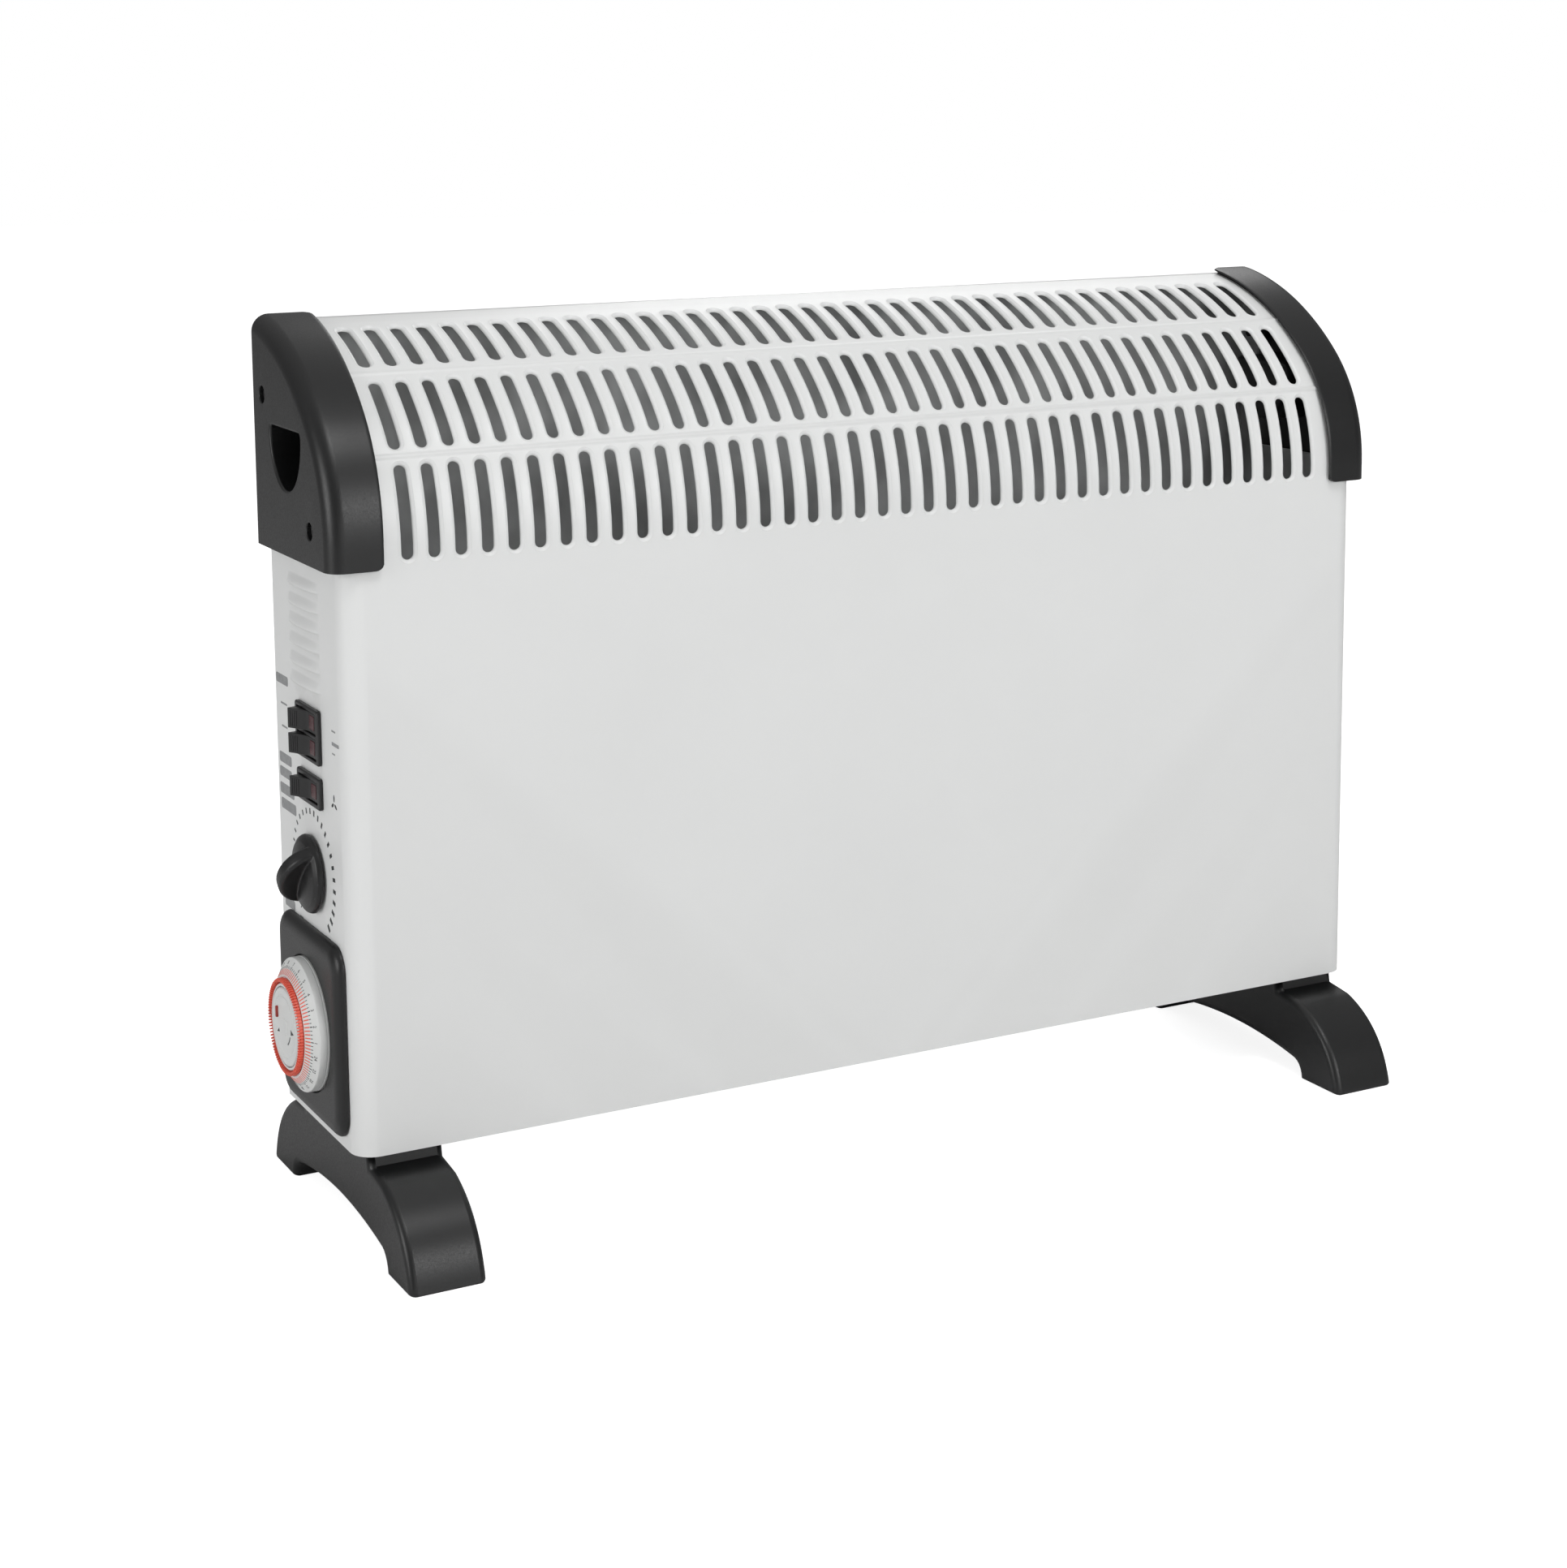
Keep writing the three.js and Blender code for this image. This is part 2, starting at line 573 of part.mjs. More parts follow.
const knob = place("thermostat_knob", thermostatKnob(), blackPlastic, controls, -KNOB.fromFront, KNOB.up);
knob.rotation.z = rad(-KNOB.finAngle);
place("thermostat_spindle", rod(3, -10, 5.7, 12), platedSteel, controls, -KNOB.fromFront, KNOB.up);

function thermostatBody() {
  const frame = box(-16, 16, -14, 14, -18, -SHEET - GAP);
  const neck = rod(5, -3, 0.4);
  const bore = rod(3.3, -12, 1, 12);
  const tabs = [-10, 10].map((x) => spade(x, -25, -17));
  return cut(join(frame, neck, ...tabs), bore);
}

place("thermostat_body", thermostatBody(), moulding, controls, -KNOB.fromFront, KNOB.up);

// ---------------------------------------------------------------- timer
function timerFrame() {
  const { width, height, corner, face } = TIMER;
  const plateShape = new THREE.ExtrudeGeometry(roundedRectangle(width, height, corner), {
    depth: 1,
    bevelThickness: face - 1,
    bevelSize: 3,
    bevelOffset: -3,
    bevelSegments: 2,
    curveSegments: 3,
  });
  const frontPlate = overlap(plateShape, box(-60, 60, -60, 60, GAP, 20));
  const dx = TIMER.fromFront - DIAL.fromFront;
  const dy = DIAL.up - TIMER.up;
  const well = rod(DIAL.radius + 0.7, 1.6, 20, 40).translate(dx, dy, 0);
  const opening = rod(20, -5, 20, 24).translate(dx, dy, 0);
  return cut(frontPlate, well, opening);
}

place("timer_frame", timerFrame(), charcoal, controls, -TIMER.fromFront, TIMER.up);

const timer = new THREE.Group();
timer.position.set(-DIAL.fromFront, DIAL.up, 0);
controls.add(timer);

function timerBody() {
  const half = TIMER.bodySize / 2;
  const movement = box(-half, half, -half, half, -34, -GAP);
  const post = rod(4, -1, TIMER_CENTRE.bottom - GAP, 12);
  const terminals = [-18, -6, 6, 18].map((x) => spade(x, -41, -33));
  return join(movement, post, ...terminals);
}

place("timer_body", timerBody(), moulding, timer);

const dialProfile = [
  [DIAL.bore, 2.2],
  [DIAL.radius, 2.2],
  [DIAL.radius, DIAL.rim],
  [DIAL.radius - 1.2, DIAL.rim + 0.6],
  [DIAL.shoulder, DIAL.top],
  [DIAL.bore, DIAL.top],
  [DIAL.bore, 2.2],
];
place("timer_dial", turned(dialProfile, 32), dialWhite, timer);

function pinRing() {
  const { count, inner, outer, bottom, top } = PIN_RING;
  const points = [];
  for (let i = 0; i < 2 * count; i++) {
    const turn = (Math.PI * i) / count;
    const radius = i % 2 ? outer : outer - 1.4;
    points.push([radius * Math.cos(turn), radius * Math.sin(turn)]);
  }
  const shape = polygon(points);
  shape.holes.push(new THREE.Path().absarc(0, 0, inner, 0, rad(360), true));
  return slab(shape, bottom, top, 16);
}

place("timer_pin_ring", pinRing(), pinRed, timer);

const OVERRIDE = { x: -8.5, y: 5, radius: 3.4 };

function timerCentre() {
  const { radius, bottom, top } = TIMER_CENTRE;
  const disc = turned([[0, bottom], [radius, bottom], [radius, top - 0.6], [radius - 0.8, top], [0, top]], 32);
  const seat = rod(OVERRIDE.radius + GAP, bottom + 0.6, top + 1, 16).translate(OVERRIDE.x, OVERRIDE.y, 0);
  return cut(disc, seat);
}

place("timer_centre_disc", timerCentre(), dialWhite, timer);

function overrideLever() {
  const { bottom, top } = TIMER_CENTRE;
  const disc = rod(OVERRIDE.radius, bottom + 0.9, top + 0.1, 16);
  const bar = box(-0.8, 0.8, -3, 3, top - 0.4, top + 1.2);
  return join(disc, bar);
}

place("timer_override_lever", overrideLever(), pinRed, timer, OVERRIDE.x, OVERRIDE.y);

// ---------------------------------------------------------------- heating elements
function heatShield() {
  const { y, halfWidth, bottom, top } = SHIELD;
  const side = polygon([
    [y, bottom],
    [y + 1, bottom],
    [y + 1, top - 1],
    [y + 12, top + 6],
    [y + 12, top + 7.2],
    [y, top],
  ]);
  return barAlongX(side, -halfWidth, halfWidth);
}

place("heat_shield", heatShield(), zinc);

function elementBracket() {
  const { from, to, top, hole, plate, flange } = BRACKET;
  const foot = BASE.bottom + SHEET + GAP;
  const upright = box(-plate / 2, plate / 2, from, to, foot, top);
  const lip = box(-plate / 2, flange, from, to, foot, foot + plate);
  const holes = ELEMENT.ys.map((y) => rod(hole, -5, 5).rotateY(rad(90)).translate(0, y, ELEMENT.z));
  return cut(join(upright, lip), ...holes);
}

// An X-section aluminium extrusion pressed onto a sheathed rod.
function heatingElement() {
  const { halfLength, rodEnd, wing, web, core } = ELEMENT;
  const blade = (angle) => box(-wing, wing, -web / 2, web / 2, -halfLength, halfLength).rotateZ(rad(angle));
  const sheathedRod = rod(3, -rodEnd, rodEnd, 12);
  return join(rod(core, -halfLength, halfLength, 12), blade(45), blade(135), sheathedRod).rotateY(rad(90));
}

for (const [side, end] of [["left", leftEnd], ["right", rightEnd]])
  place(`${side}_element_bracket`, elementBracket(), zinc, end, BRACKET.x);

for (const [i, name] of ["front", "rear"].entries()) {
  const y = ELEMENT.ys[i];
  place(`${name}_heating_element`, heatingElement(), aluminium, heater, 0, y, ELEMENT.z);
  for (const [side, end] of [["left", leftEnd], ["right", rightEnd]]) {
    const bush = turned([[3.3, -5], [6.2, -5], [6.2, 1], [8.5, 1], [8.5, 5], [3.3, 5], [3.3, -5]], 12);
    place(`${name}_element_bush_${side}`, bush.rotateY(rad(90)), ceramic, end, BRACKET.x, y, ELEMENT.z);
  }
}

// A disc thermostat on a flange, with two spade terminals.
function thermalCutout() {
  const tabs = [-6.1, 6.1].map((x) => box(x - 0.4, x + 0.4, -3, 3, 6, 14));
  return join(rod(8, 0, 7), rod(11, 0, 1.2), ...tabs).rotateY(rad(90));
}

const cutoutSeat = BRACKET.x + BRACKET.plate / 2 + GAP;
place("thermal_cutout", thermalCutout(), platedSteel, leftEnd, cutoutSeat, CUTOUT.y, CUTOUT.z);

// ---------------------------------------------------------------- booster fan
const fan = new THREE.Group();
fan.position.set(FAN.x, FAN.y, 0);
heater.add(fan);

function fanBracket() {
  const foot = BASE.bottom + SHEET + GAP;
  const [left, right] = [-20, 6.5];
  const strap = box(left, right, -36, 36, MOTOR.bottom - GAP - 1, MOTOR.bottom - GAP);
  const legs = [-1, 1].map((side) => {
    const y = side * 35.5;
    return box(left, right, y - 0.5, y + 0.5, foot, MOTOR.bottom - GAP);
  });
  return cut(join(strap, ...legs), rod(MOTOR.bore, 0, 40, 12));
}

function fanMotorCore() {
  const core = box(-24, 24, -20, 20, MOTOR.bottom, MOTOR.top);
  const window = box(4, 16, -12, 12, 0, 60);
  const bore = rod(MOTOR.bore, 0, 60, 12);
  return cut(core, window, bore);
}

function fanMotorCoil() {
  const winding = box(7, 29, -11, 11, MOTOR.bottom - 3, MOTOR.top + 5);
  const leg = box(16 - GAP, 24 + GAP, -30, 30, MOTOR.bottom - GAP, MOTOR.top + GAP);
  return cut(winding, leg);
}

function fanShroud() {
  const foot = BASE.bottom + SHEET + GAP;
  const ring = tube(FAN.ring, FAN.ring + 1.4, FAN.bottom - 2, FAN.top + 2, 24);
  const legs = [45, 135, 225, 315].map((turn) =>
    box(FAN.ring - 0.4, FAN.ring + 1.4, -4, 4, foot, FAN.bottom).rotateZ(rad(turn)),
  );
  return join(ring, ...legs);
}

function impeller() {
  const hub = rod(FAN.hub, FAN.bottom, FAN.top, 20);
  const middle = (FAN.bottom + FAN.top) / 2;
  const blades = Array.from({ length: FAN.blades }, (_, i) =>
    slab(
      polygon([
        [FAN.hub - 2, -6.5],
        [FAN.tip - 6, -11],
        [FAN.tip, -8],
        [FAN.tip, 8],
        [FAN.tip - 6, 11],
        [FAN.hub - 2, 6.5],
      ]),
      -0.6,
      0.6,
    )
      .rotateX(rad(FAN.bladeAngle))
      .rotateZ((2 * Math.PI * i) / FAN.blades)
      .translate(0, 0, middle),
  );
  return cut(join(hub, ...blades), rod(2.8, 0, FAN.top - 2, 12));
}

place("fan_bracket", fanBracket(), zinc, fan);
place("fan_motor_core", fanMotorCore(), platedSteel, fan);
place("fan_motor_coil", fanMotorCoil(), copper, fan);
place("fan_shroud", fanShroud(), zinc, fan);
place("fan_impeller", impeller(), blackPlastic, fan);
place("fan_shaft", rod(2.5, 12, FAN.top - 2 - GAP, 12), platedSteel, fan);

// ---------------------------------------------------------------- mains entry
function cordGland() {
  const { bore, hole } = GLAND;
  const profile = [
    [bore, 0],
    [hole - GAP, 0],
    [hole - GAP, 6],
    [hole + 3, 6],
    [hole + 3, 9],
    [bore + 2.6, 15],
    [bore, 15],
    [bore, 0],
  ];
  return turned(profile, 20);
}

const gland = place("cord_gland", cordGland(), blackPlastic, heater, GLAND.x, BACK.outside - 6 + GAP, GLAND.z);
gland.rotation.x = rad(-90);

function terminalBlock() {
  const { halfWidth, front, bottom, top, screws } = TERMINALS;
  const body = box(-halfWidth, halfWidth, front, BACK.outside - SHEET - GAP, bottom, top);
  const wells = screws.map((x) => rod(2.4, top - 8, top + 10, 10).translate(x, front + 8, 0));
  return cut(body, ...wells);
}

place("terminal_block", terminalBlock(), moulding, heater, TERMINALS.x);

// ---------------------------------------------------------------- stand the heater on the floor
const size = new THREE.Box3().setFromObject(heater, true);
const middle = size.getCenter(new THREE.Vector3());
heater.position.set(-middle.x, -middle.y, -size.min.z);

export default heater;
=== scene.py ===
import json
import math

import bmesh
import bpy
from mathutils import Matrix, Vector
from mathutils.geometry import delaunay_2d_cdt


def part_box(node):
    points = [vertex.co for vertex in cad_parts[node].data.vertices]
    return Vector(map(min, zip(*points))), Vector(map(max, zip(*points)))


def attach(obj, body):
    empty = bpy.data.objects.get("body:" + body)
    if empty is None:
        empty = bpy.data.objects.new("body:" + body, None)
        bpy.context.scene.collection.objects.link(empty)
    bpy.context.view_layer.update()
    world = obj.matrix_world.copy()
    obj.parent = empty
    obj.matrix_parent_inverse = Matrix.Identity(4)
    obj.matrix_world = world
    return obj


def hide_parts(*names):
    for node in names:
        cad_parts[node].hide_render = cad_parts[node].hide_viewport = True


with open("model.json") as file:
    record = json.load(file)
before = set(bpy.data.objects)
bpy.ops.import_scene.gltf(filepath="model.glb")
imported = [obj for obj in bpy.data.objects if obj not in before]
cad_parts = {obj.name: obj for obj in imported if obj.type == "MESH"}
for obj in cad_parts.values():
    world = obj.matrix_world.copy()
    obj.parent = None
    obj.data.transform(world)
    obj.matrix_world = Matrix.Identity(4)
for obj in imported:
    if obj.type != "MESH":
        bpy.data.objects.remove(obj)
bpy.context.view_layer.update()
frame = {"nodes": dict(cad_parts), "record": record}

# --- driving sizes, in millimetres of the body frame ---
# X runs across the front, Y from the front face (0) to the back, and Z up from the casing's lower edge.
MM = 0.001
HALF_WIDTH = 274.5
DEPTH = 96.0
SHEET = 0.8
BEND_START = 272.0
FRONT_RADIUS, FRONT_ANGLE = 77.0, math.radians(45)
TOP_RADIUS = 137.0
EDGE_RADIUS = 11.0
FRONT_ARC = FRONT_RADIUS * FRONT_ANGLE
SKIN_END = 144.5
# Places on the left wall: distance from the front face and height.
SWITCH_FROM_FRONT, HEAT_SWITCH_UP, FAN_SWITCH_UP = 48, 183.3, 157.8
KNOB_CENTRE, DIAL_CENTRE, FRAME_CENTRE = (49.6, 118.3), (51.0, 48.5), (50.75, 49.0)

casing_low, casing_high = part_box("casing")
ORIGIN = Vector((casing_high.x - HALF_WIDTH * MM, casing_low.y, casing_low.z))
WORLD = Matrix.Translation(ORIGIN) @ Matrix.Scale(MM, 4)


# --- frames ---
def basis(u, v, w, origin):
    """The matrix whose columns are the directions u, v and w, at origin."""
    rows = [[u[i], v[i], w[i], origin[i]] for i in range(3)]
    return Matrix(rows + [[0, 0, 0, 1]])


IDENTITY = Matrix.Identity(4)
MIRROR = Matrix.Scale(-1, 4, (1, 0, 0))
SIDES = (("left", -1, MIRROR), ("right", 1, IDENTITY))
# u towards the front, v up and w straight out of the left wall.
LEFT_WALL = basis((0, -1, 0), (0, 0, 1), (-1, 0, 0), (-HALF_WIDTH, 0, 0))
# u towards the back, v up and w towards +X.
ACROSS = basis((0, 1, 0), (0, 0, 1), (1, 0, 0), (0, 0, 0))


def control(from_front, up):
    """A spot on the left wall, given by its distance from the front face and its height."""
    return LEFT_WALL @ Matrix.Translation((-from_front, up, 0))


# --- loops of points ---
def circle(radius, count, cx=0.0, cy=0.0):
    turns = [2 * math.pi * i / count for i in range(count)]
    return [(cx + radius * math.cos(t), cy + radius * math.sin(t)) for t in turns]


def rounded_rectangle(width, height, radius, steps=6, cx=0.0, cy=0.0):
    loop = []
    for quarter, (sx, sy) in enumerate(((1, -1), (1, 1), (-1, 1), (-1, -1))):
        for i in range(steps + 1):
            t = math.radians(-90 + 90 * quarter + 90 * i / steps)
            x = cx + sx * (width / 2 - radius) + radius * math.cos(t)
            loop.append((x, cy + sy * (height / 2 - radius) + radius * math.sin(t)))
    return loop


def stadium(half_width, low, high, grow, cx):
    """An upright slot from low to high, grown outwards by grow, with as many points at any growth."""
    radius = half_width + grow
    bottom, top = low + half_width, high - half_width
    steps = 8
    loop = []
    for i in range(steps):
        loop.append((cx + radius, bottom + (top - bottom) * i / steps))
    for i in range(steps):
        t = math.pi * i / steps
        loop.append((cx + radius * math.cos(t), top + radius * math.sin(t)))
    for i in range(steps):
        loop.append((cx - radius, top - (top - bottom) * i / steps))
    for i in range(steps):
        t = math.pi + math.pi * i / steps
        loop.append((cx + radius * math.cos(t), bottom + radius * math.sin(t)))
    return loop


def roll(width, steps=4, depth=None):
    """How far a rolled edge stands out and how deep it lies, from its flat side to its rim."""
    turns = [math.pi / 2 * i / steps for i in range(steps + 1)]
    return [(width * (1 - math.sin(t)), (depth or width) * (1 - math.cos(t))) for t in turns]


def inside(point, loop):
    x, y = point
    hit = False
    for (x0, y0), (x1, y1) in zip(loop, loop[1:] + loop[:1]):
        if (y0 > y) != (y1 > y) and x < x0 + (y - y0) / (y1 - y0) * (x1 - x0):
            hit = not hit
    return hit


# --- mesh building ---
def add_ring(bm, points, place):
    return [bm.verts.new(place(*p)) for p in points]


def bridge(bm, outer, inner):
    """Quads between two rings, facing the side from which the outer one runs counter-clockwise."""
    for i in range(len(outer)):
        j = (i + 1) % len(outer)
        bm.faces.new((inner[i], outer[i], outer[j], inner[j]))


def panel(bm, outline, holes=(), lines=(), place=None, flat=0.0):
    """A flat region with holes. outline and each hole are lists of rings (loop, height), the flat edge first.
    A hole ends in an optional "fill" that closes its last ring."""
    place = place or (lambda u, v, w: Vector((u, v, w)))
    loops = [outline[0][0]] + [hole[0][0] for hole in holes]
    coords, edges = [], []
    for loop in loops:
        start = len(coords)
        coords += [Vector(p) for p in loop]
        edges += [(start + i, start + (i + 1) % len(loop)) for i in range(len(loop))]
    for a, b in lines:
        edges.append((len(coords), len(coords) + 1))
        coords += [Vector(a), Vector(b)]
    out, _, faces, origin, _, _ = delaunay_2d_cdt(coords, edges, [], 0, 1e-5)
    verts = [bm.verts.new(place(p.x, p.y, flat)) for p in out]
    index = {source: i for i, sources in enumerate(origin) for source in sources}
    owner, rings = {}, []
    start = 0
    for n, loop in enumerate(loops):
        ring = [index[start + i] for i in range(len(loop))]
        rings.append([verts[i] for i in ring])
        if n:
            owner.update({i: n for i in ring})
        start += len(loop)
    edge_set = set(index[i] for i in range(len(loops[0])))
    for face in faces:
        middle = sum((out[i] for i in face), Vector((0, 0))) / len(face)
        found = {owner.get(i) for i in face}
        if len(found) == 1 and None not in found and inside(middle, loops[found.pop()]):
            continue
        if all(i in edge_set for i in face) and not inside(middle, loops[0]):
            continue
        bm.faces.new([verts[i] for i in face])
    for n, source in enumerate([outline] + list(holes)):
        ring = rings[n]
        for item in source[1:]:
            if item == "fill":
                bm.faces.new(ring)
                continue
            following = add_ring(bm, [(u, v, item[1]) for u, v in item[0]], place)
            if n:
                bridge(bm, ring, following)
            else:
                bridge(bm, following, ring)
            ring = following


def loft(bm, rings, place=None):
    """A solid through rings of 3-D points: the first ring is seen clockwise from outside its own end."""
    made = [[bm.verts.new(place(*p) if place else Vector(p)) for p in ring] for ring in rings]
    for low, high in zip(made, made[1:]):
        bridge(bm, low, high)
    bm.faces.new(list(reversed(made[0])))
    bm.faces.new(made[-1])


def prism(bm, loop, low, high, place=None):
    """A counter-clockwise loop in u and v, drawn out along w from low to high."""
    loft(bm, [[(u, v, low) for u, v in loop], [(u, v, high) for u, v in loop]], place=place)


def block(bm, x0, x1, y0, y1, z0, z1, place=None):
    prism(bm, [(x0, y0), (x1, y0), (x1, y1), (x0, y1)], z0, z1, place)


def lathe(bm, profile, segments):
    """Turns (radius, height) points about the w axis; the profile runs from the bottom to the top."""
    rings = []
    for radius, height in profile:
        ring = circle(radius, segments) if radius > 1e-6 else [(0, 0)]
        rings.append([bm.verts.new((u, v, height)) for u, v in ring])
    for low, high in zip(rings, rings[1:]):
        for i in range(segments):
            j = (i + 1) % segments
            if len(low) == 1 and len(high) == 1:
                continue
            if len(low) == 1:
                bm.faces.new((low[0], high[j], high[i]))
            elif len(high) == 1:
                bm.faces.new((low[i], low[j], high[0]))
            else:
                bm.faces.new((low[i], low[j], high[j], high[i]))


def turned(profile, segments):
    bm = bmesh.new()
    lathe(bm, profile, segments)
    return bm


def add_object(name, data):
    obj = bpy.data.objects.new(name, data)
    bpy.context.scene.collection.objects.link(obj)
    return obj


def matrix_place(matrix):
    return lambda u, v, w=0.0: matrix @ Vector((u, v, w))


# --- materials ---
def new_material(name):
    material = bpy.data.materials.new(name)
    material.use_nodes = True
    nodes, links = material.node_tree.nodes, material.node_tree.links
    return material, nodes, links, nodes["Principled BSDF"]


def noise_node(nodes, links, coords, scale, detail=3.0):
    node = nodes.new("ShaderNodeTexNoise")
    node.inputs["Scale"].default_value = scale
    node.inputs["Detail"].default_value = detail
    node.inputs["Roughness"].default_value = 0.55
    links.new(coords, node.inputs["Vector"])
    return node


def map_range(nodes, links, value, low, high, source=(0.3, 0.7)):
    node = nodes.new("ShaderNodeMapRange")
    node.inputs["From Min"].default_value = source[0]
    node.inputs["From Max"].default_value = source[1]
    node.inputs["To Min"].default_value = low
    node.inputs["To Max"].default_value = high
    links.new(value, node.inputs["Value"])
    return node.outputs["Result"]


def mix_colour(nodes, links, factor, first, second):
    node = nodes.new("ShaderNodeMix")
    node.data_type = "RGBA"
    links.new(factor, node.inputs[0])
    for socket, value in ((node.inputs[6], first), (node.inputs[7], second)):
        if isinstance(value, tuple):
            socket.default_value = (*value, 1)
        else:
            links.new(value, socket)
    return node.outputs[2]


def add_bump(nodes, links, shader, height, strength, distance):
    bump = nodes.new("ShaderNodeBump")
    bump.inputs["Strength"].default_value = strength
    bump.inputs["Distance"].default_value = distance
    links.new(height, bump.inputs["Height"])
    links.new(bump.outputs["Normal"], shader.inputs["Normal"])


def shade(colour, factor):
    return tuple(c * factor for c in colour)


def surface(name, colour, roughness, metallic=0.0, vary=0.06, patch=30.0, grain=1500.0, bump=0.08,
            distance=0.00005, wear=None, wear_amount=0.5, specular=0.5, streak=None):
    """A moulded, painted or sheet finish: patchy colour, fine grain and worn convex edges."""
    material, nodes, links, shader = new_material(name)
    coords = nodes.new("ShaderNodeTexCoord").outputs["Object"]
    grain_coords = coords
    if streak:
        stretch = nodes.new("ShaderNodeMapping")
        stretch.inputs["Scale"].default_value = streak
        links.new(coords, stretch.inputs["Vector"])
        grain_coords = stretch.outputs["Vector"]
    broad = noise_node(nodes, links, coords, patch)
    fine = noise_node(nodes, links, grain_coords, grain, 4.0)
    mixed = mix_colour(nodes, links, map_range(nodes, links, broad.outputs["Fac"], 0, 1),
                       shade(colour, 1 - vary), shade(colour, 1 + vary))
    if wear:
        geometry = nodes.new("ShaderNodeNewGeometry")
        edge = map_range(nodes, links, geometry.outputs["Pointiness"], 0, wear_amount, (0.53, 0.62))
        mixed = mix_colour(nodes, links, edge, mixed, wear)
    links.new(mixed, shader.inputs["Base Color"])
    links.new(map_range(nodes, links, fine.outputs["Fac"], roughness - 0.06, roughness + 0.06),
              shader.inputs["Roughness"])
    shader.inputs["Metallic"].default_value = metallic
    shader.inputs["Specular IOR Level"].default_value = specular
    add_bump(nodes, links, shader, fine.outputs["Fac"], bump, distance)
    return material


def spangled_zinc(name, colour, roughness):
    material, nodes, links, shader = new_material(name)
    coords = nodes.new("ShaderNodeTexCoord").outputs["Object"]
    cells = nodes.new("ShaderNodeTexVoronoi")
    cells.inputs["Scale"].default_value = 120
    links.new(coords, cells.inputs["Vector"])
    value = nodes.new("ShaderNodeSeparateColor")
    links.new(cells.outputs["Color"], value.inputs["Color"])
    mixed = mix_colour(nodes, links, value.outputs["Red"], shade(colour, 0.86), shade(colour, 1.08))
    links.new(mixed, shader.inputs["Base Color"])
    links.new(map_range(nodes, links, value.outputs["Green"], roughness - 0.08, roughness + 0.1, (0, 1)),
              shader.inputs["Roughness"])
    shader.inputs["Metallic"].default_value = 0.75
    fine = noise_node(nodes, links, coords, 700)
    add_bump(nodes, links, shader, fine.outputs["Fac"], 0.1, 0.00005)
    return material


WHITE = surface("white_powder_coat", (0.825, 0.833, 0.828), 0.36, vary=0.012, patch=9, grain=520, bump=0.10,
                distance=0.00004, wear=(0.62, 0.62, 0.61), wear_amount=0.35)
# The inner faces' dark grey and their strong patchiness are painted shade for the dim inside of the casing,
# as seen through the slots.
INNER_SHADE_SHEET = surface("inner_sheet_painted_shade", (0.50, 0.51, 0.51), 0.55, vary=0.42, patch=17, grain=300, bump=0.12)
CHARCOAL = surface("charcoal_moulding", (0.0062, 0.0064, 0.0067), 0.38, vary=0.10, patch=40, bump=0.22,
                   distance=0.00006, wear=(0.035, 0.036, 0.037))
BLACK = surface("black_moulding", (0.008, 0.008, 0.0085), 0.38, vary=0.15, patch=60, grain=1400, bump=0.12,
                wear=(0.04, 0.04, 0.042), wear_amount=0.6)
ZINC = spangled_zinc("galvanised_sheet", (0.52, 0.54, 0.55), 0.42)
PLATED = surface("plated_steel", (0.60, 0.61, 0.62), 0.30, metallic=0.9, vary=0.08, patch=150, grain=1200,
                 wear=(0.8, 0.8, 0.8))
# Near-black steel, used for the cap screws that sit in the caps' recesses.
NEAR_BLACK_STEEL = surface("near_black_steel", (0.020, 0.020, 0.021), 0.36, metallic=0.3, vary=0.15, patch=200,
                      bump=0.1, wear=(0.12, 0.12, 0.12))
ALUMINIUM = surface("aluminium", (0.66, 0.67, 0.68), 0.42, metallic=0.85, vary=0.10, grain=400, bump=0.15,
                    streak=(0.05, 1, 1))
CERAMIC = surface("ceramic", (0.74, 0.70, 0.62), 0.5, patch=120, grain=900, bump=0.2)
DIAL = surface("dial_moulding", (0.74, 0.75, 0.74), 0.36, vary=0.03, patch=80, bump=0.06,
               wear=(0.85, 0.85, 0.84), wear_amount=0.4)
RED = surface("red_moulding", (0.86, 0.090, 0.050), 0.38, vary=0.10, patch=200,
              wear=(0.85, 0.22, 0.15), wear_amount=0.4)
DEEP_RED = surface("deep_red_moulding", (0.33, 0.030, 0.020), 0.38, vary=0.10, patch=200)
DARK_RED = surface("lamp_window", (0.060, 0.012, 0.016), 0.3, vary=0.12, patch=300, grain=1800, bump=0.06)
COPPER = surface("copper_winding", (0.42, 0.17, 0.07), 0.34, metallic=0.7, vary=0.12, patch=300, bump=0.2,
                 streak=(1, 1, 8))
CREAM = surface("cream_moulding", (0.68, 0.66, 0.58), 0.5, patch=60, grain=1200, bump=0.12)
INK = surface("printed_ink", (0.030, 0.031, 0.033), 0.55, vary=0.15, patch=400, grain=2500, bump=0.1)
GREY_INK = surface("printed_grey_ink", (0.30, 0.305, 0.31), 0.55, vary=0.12, patch=500, grain=2500, bump=0.1)
FLOOR_MATERIAL = surface("studio_floor", (0.78, 0.78, 0.78), 0.85, vary=0.01, patch=2, grain=60, bump=0.02,
                         specular=0.1)


def lift_floor(glow):
    """Brightens the floor for the viewer only, so that dark plastic doesn't mirror it."""
    nodes, links = FLOOR_MATERIAL.node_tree.nodes, FLOOR_MATERIAL.node_tree.links
    shader = nodes["Principled BSDF"]
    shader.inputs["Emission Color"].default_value = (1, 1, 1, 1)
    amount = nodes.new("ShaderNodeMath")
    amount.operation = "MULTIPLY"
    links.new(nodes.new("ShaderNodeLightPath").outputs["Is Camera Ray"], amount.inputs[0])
    amount.inputs[1].default_value = glow
    links.new(amount.outputs[0], shader.inputs["Emission Strength"])


lift_floor(0.85)

